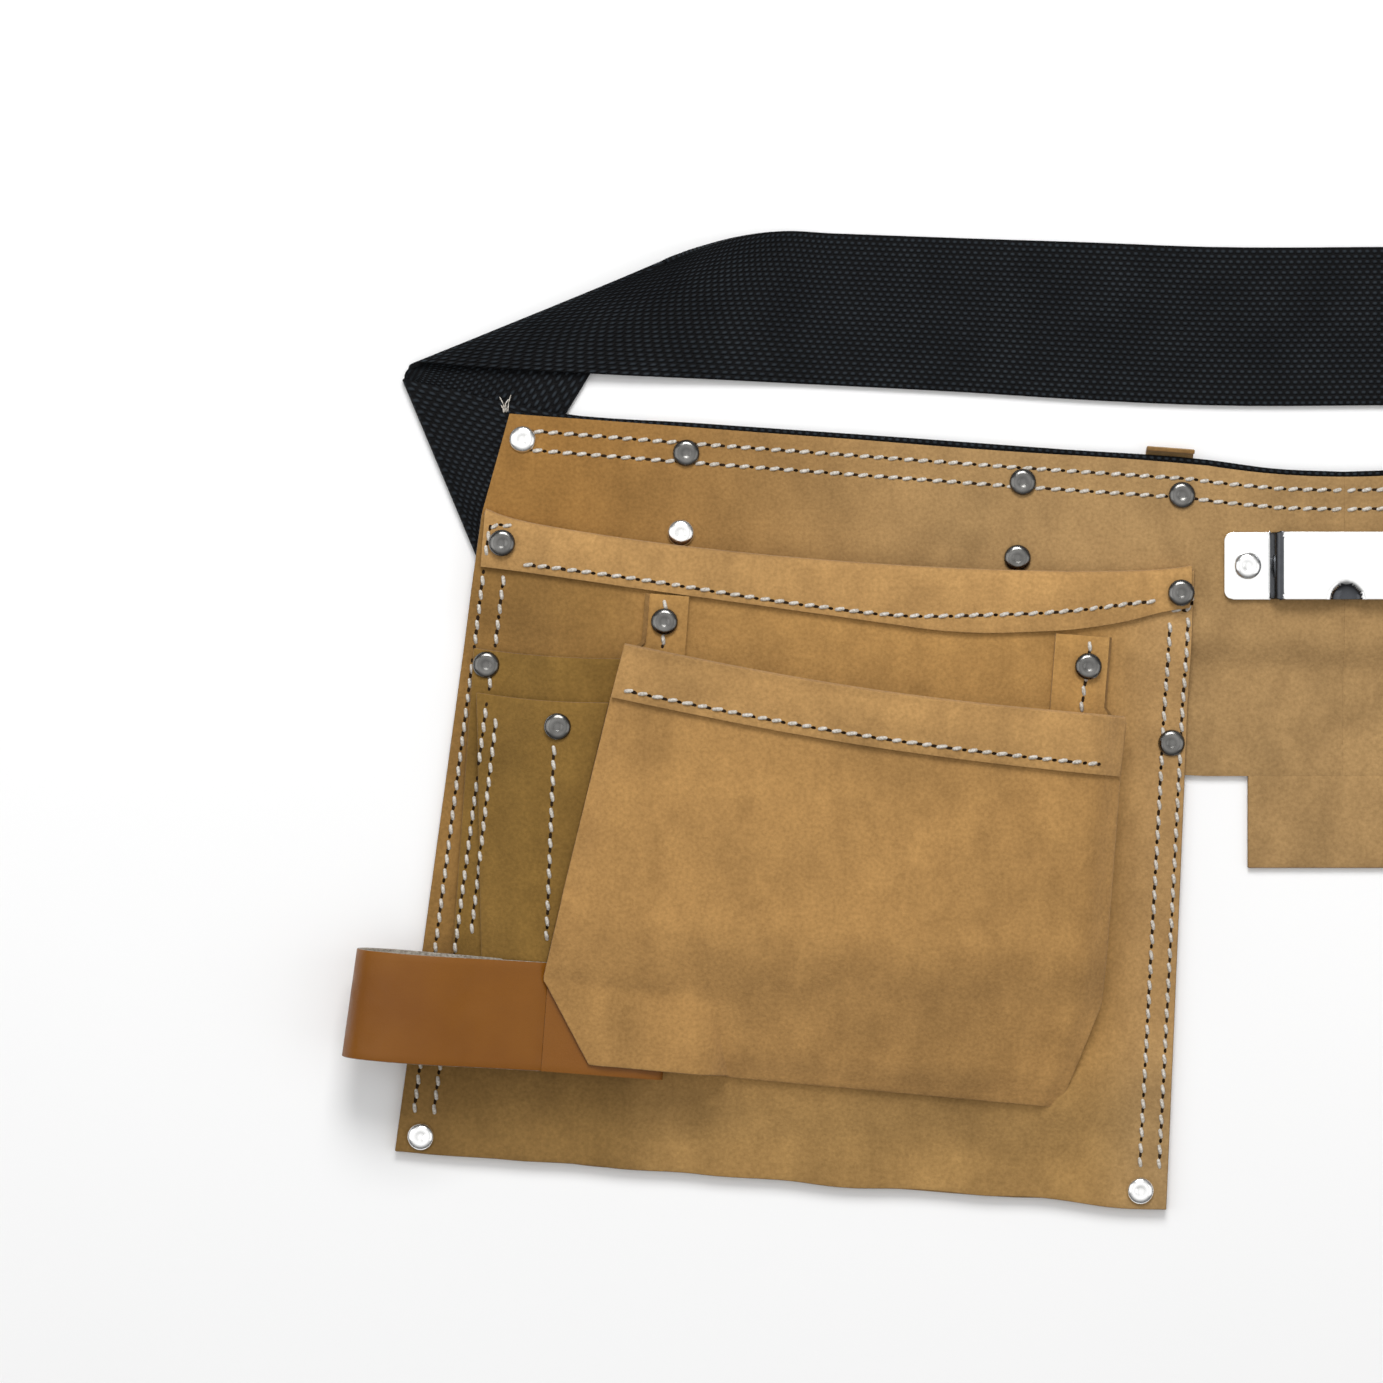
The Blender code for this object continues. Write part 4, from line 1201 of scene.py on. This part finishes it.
def refined(node, width, material_name):
    """A copy of a CAD node with rounded edges and a finished material."""
    source = frame["nodes"][node]
    thing = placed(node + "_detail", source.data.copy())
    shape = bmesh.new()
    shape.from_mesh(thing.data)
    bmesh.ops.remove_doubles(shape, verts=shape.verts, dist=0.00002)
    bmesh.ops.dissolve_limit(shape, angle_limit=math.radians(2), verts=shape.verts, edges=shape.edges)
    shape.to_mesh(thing.data)
    shape.free()
    thing.data.materials.clear()
    thing.data.materials.append(MATERIALS[material_name])
    round_edges(thing, width, 35, 3)
    applied(thing)
    thing.data.shade_smooth()
    thing.data.set_sharp_from_angle(angle=math.radians(38))
    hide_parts(node)
    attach(thing, body_of_node(node))
    return thing


# The clip plate's thickness, corners, joggles and dish
PLATE_STEEL, PLATE_CORNER = 1.2, 2.8
JOGGLE_X, JOGGLE_RUN = 23.5, 3.0
DISH_R, DISH_DEPTH = 5.7, 2.1


def clip_plate():
    """The pressed plate: rounded ends, two joggles and a dish in its lower edge."""
    low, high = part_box("clip_plate")
    half_x, half_y = 500.0 * (high[0] - low[0]), 500.0 * (high[1] - low[1])
    middle_y, base = 500.0 * (high[1] + low[1]), 1000.0 * low[2]
    rise = 1000.0 * (high[2] - low[2]) - PLATE_STEEL
    rows = []
    for t in fractions(42):
        y = blend(half_y, -half_y, t)
        past = max(0.0, abs(y) - half_y + PLATE_CORNER)
        inset = PLATE_CORNER - math.sqrt(max(0.0, PLATE_CORNER**2 - past**2))
        row = []
        for s in fractions(150):
            x = blend(-half_x + inset, half_x - inset, s)
            joggle = smooth((JOGGLE_X - abs(x)) / JOGGLE_RUN)
            reach = min(1.0, math.hypot(x, y + half_y) / DISH_R)
            dish = DISH_DEPTH * math.sqrt(1.0 - reach**2)
            row.append((x, middle_y + y, base + rise * joggle - dish))
        rows.append(row)
    made = bmesh.new()
    lattice(made, rows)
    # The dish and the joggles' slopes take the darker nickel copy: painted dark reflection.
    for face in made.faces:
        x, y, _ = face.calc_center_median() / MM
        in_dish = math.hypot(x, y - middle_y + half_y) < DISH_R
        face.material_index = 1 if in_dish or 19.9 < abs(x) < 23.0 else 0
    thing = mesh_object("clip_plate_detail", made, ["nickel", "shaded_nickel"])
    thicken(thing, PLATE_STEEL, 1.0)
    round_edges(thing, 0.25, 60)
    applied(thing)
    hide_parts("clip_plate")
    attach(thing, "centre")


def hardware():
    clip_plate()
    for node in ("buckle_housing", "buckle_plug", "latch_arm_upper", "latch_arm_lower"):
        refined(node, 0.7, "plastic")
    grip_ribs()


def grip_ribs():
    """Low ribs on the buckle's housing, where the fingers hold it."""
    for number in range(5):
        x = 24.0 - 3.2 * number
        made = bmesh.new()
        rows = []
        for t in fractions(10):
            angle = math.pi * t
            out, up = x + 0.9 * math.cos(angle), 11.0 + 0.55 * math.sin(angle)
            rows.append([at_buckle(out, y, up) for y in (-14.0, 0.0, 14.0)])
        lattice(made, rows)
        bmesh.ops.recalc_face_normals(made, faces=made.faces)
        thing = mesh_object(f"housing_rib_{number + 1}", made, ["plastic"])
        thicken(thing, 0.5, -1.0)
        applied(thing)
        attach(thing, "right_half")


TUFT_AT = (-264.9, 98.2, 3.0)


def thread_tuft():
    """The loose ends of the bar tack on the webbing beside the left pouch."""
    made = bmesh.new()
    strands = ((-0.6, 1.9, 4.6), (0.1, -1.7, 5.3), (0.5, -0.3, 3.4), (0.9, 1.1, 5.9), (-0.2, -0.9, 2.6))
    for foot, lean, length in strands:
        start = (Vector(TUFT_AT) + Vector((foot, 0.0, 0.0))) * MM
        bend = start + Vector((0.3 * lean, 0.55 * length, 0.9)) * MM
        stitch(made, start, bend, 0.17 * MM)
        stitch(made, bend, bend + Vector((0.7 * lean, 0.45 * length, -0.2)) * MM, 0.15 * MM)
    thing = mesh_object("bar_tack_ends", made, ["thread"])
    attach(thing, "left_half")


# ------ stage


def light(name, size, energy, place):
    """An area light that points at the belt's origin."""
    lamp = bpy.data.lights.new(name, "AREA")
    lamp.size = size
    lamp.energy = energy
    thing = placed(name, lamp)
    thing.location = place
    thing.rotation_euler = (-Vector(place)).to_track_quat("-Z", "Y").to_euler()


def stage():
    made = bmesh.new()
    bmesh.ops.create_grid(made, x_segments=1, y_segments=1, size=4.0)
    floor = mesh_object("floor", made, ["floor"])
    floor.location.z = -0.3 * MM
    light("soft_top", 0.7, 18.0, (-0.15, 1.1, 1.2))
    light("soft_left", 1.2, 4.0, (-1.3, 0.1, 1.1))
    light("soft_right", 1.2, 3.4, (1.2, -0.2, 1.2))
    studio_sky()
    bpy.context.scene.view_settings.view_transform = "Standard"


def studio_sky():
    """A white ceiling that falls off towards the walls, so that metal shows a bright top and a dark rim."""
    world = bpy.data.worlds.new("studio")
    world.use_nodes = True
    tree = world.node_tree
    split = add(tree, "ShaderNodeSeparateXYZ")
    tree.links.new(add(tree, "ShaderNodeTexCoord").outputs["Generated"], split.inputs[0])
    height = math_node(tree, "MAXIMUM", split.outputs["Z"], 0.0)
    ceiling = math_node(tree, "POWER", height, 4.0)
    strength = math_node(tree, "ADD", ceiling, 0.15)
    tree.links.new(strength, tree.nodes["Background"].inputs["Strength"])
    tree.nodes["Background"].inputs["Color"].default_value = (1.0, 1.0, 1.0, 1.0)
    bpy.context.scene.world = world


def camera():
    lens = bpy.data.cameras.new("view")
    lens.sensor_width = 36.0
    lens.lens = 36.0 * VIEW_DISTANCE / VIEW_WIDTH
    lens.clip_end = 20.0
    thing = placed("view", lens)
    thing.location = (VIEW_X * MM, VIEW_Y * MM, VIEW_DISTANCE * MM)
    bpy.context.scene.camera = thing


# ------ the whole belt


def pouch(side):
    name = SIDES[side]
    half = name + "_half"
    leather = blank(side)
    riders = [main_pocket(side), main_hem(side), outer_front(side), outer_hem(side)]
    riders += [tool_pocket(side, label) for label in TOOL_POCKETS]
    for gusset_shape in (("outer_gusset", 1.0, -53.5, 19.0), ("inner_gusset", -1.0, -56.4, 23.0)):
        riders.append(gusset(side, *gusset_shape))
    pieces = [leather] + riders
    stitching(side, pieces)
    extra_rivets(side, pieces)
    loop, anchor = hammer_loop(side)
    for thing in riders + belt_loops(side):
        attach(thing, half)
    for thing, body in ((anchor, half), (loop, name + "_hammer_loop")):
        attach(thing, body)
    across_fold(leather)


camera()
stage()
pouch(-1)
pouch(1)
flap = tongue()
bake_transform(flap)
webbing()
cad_rivets()
hardware()
thread_tuft()
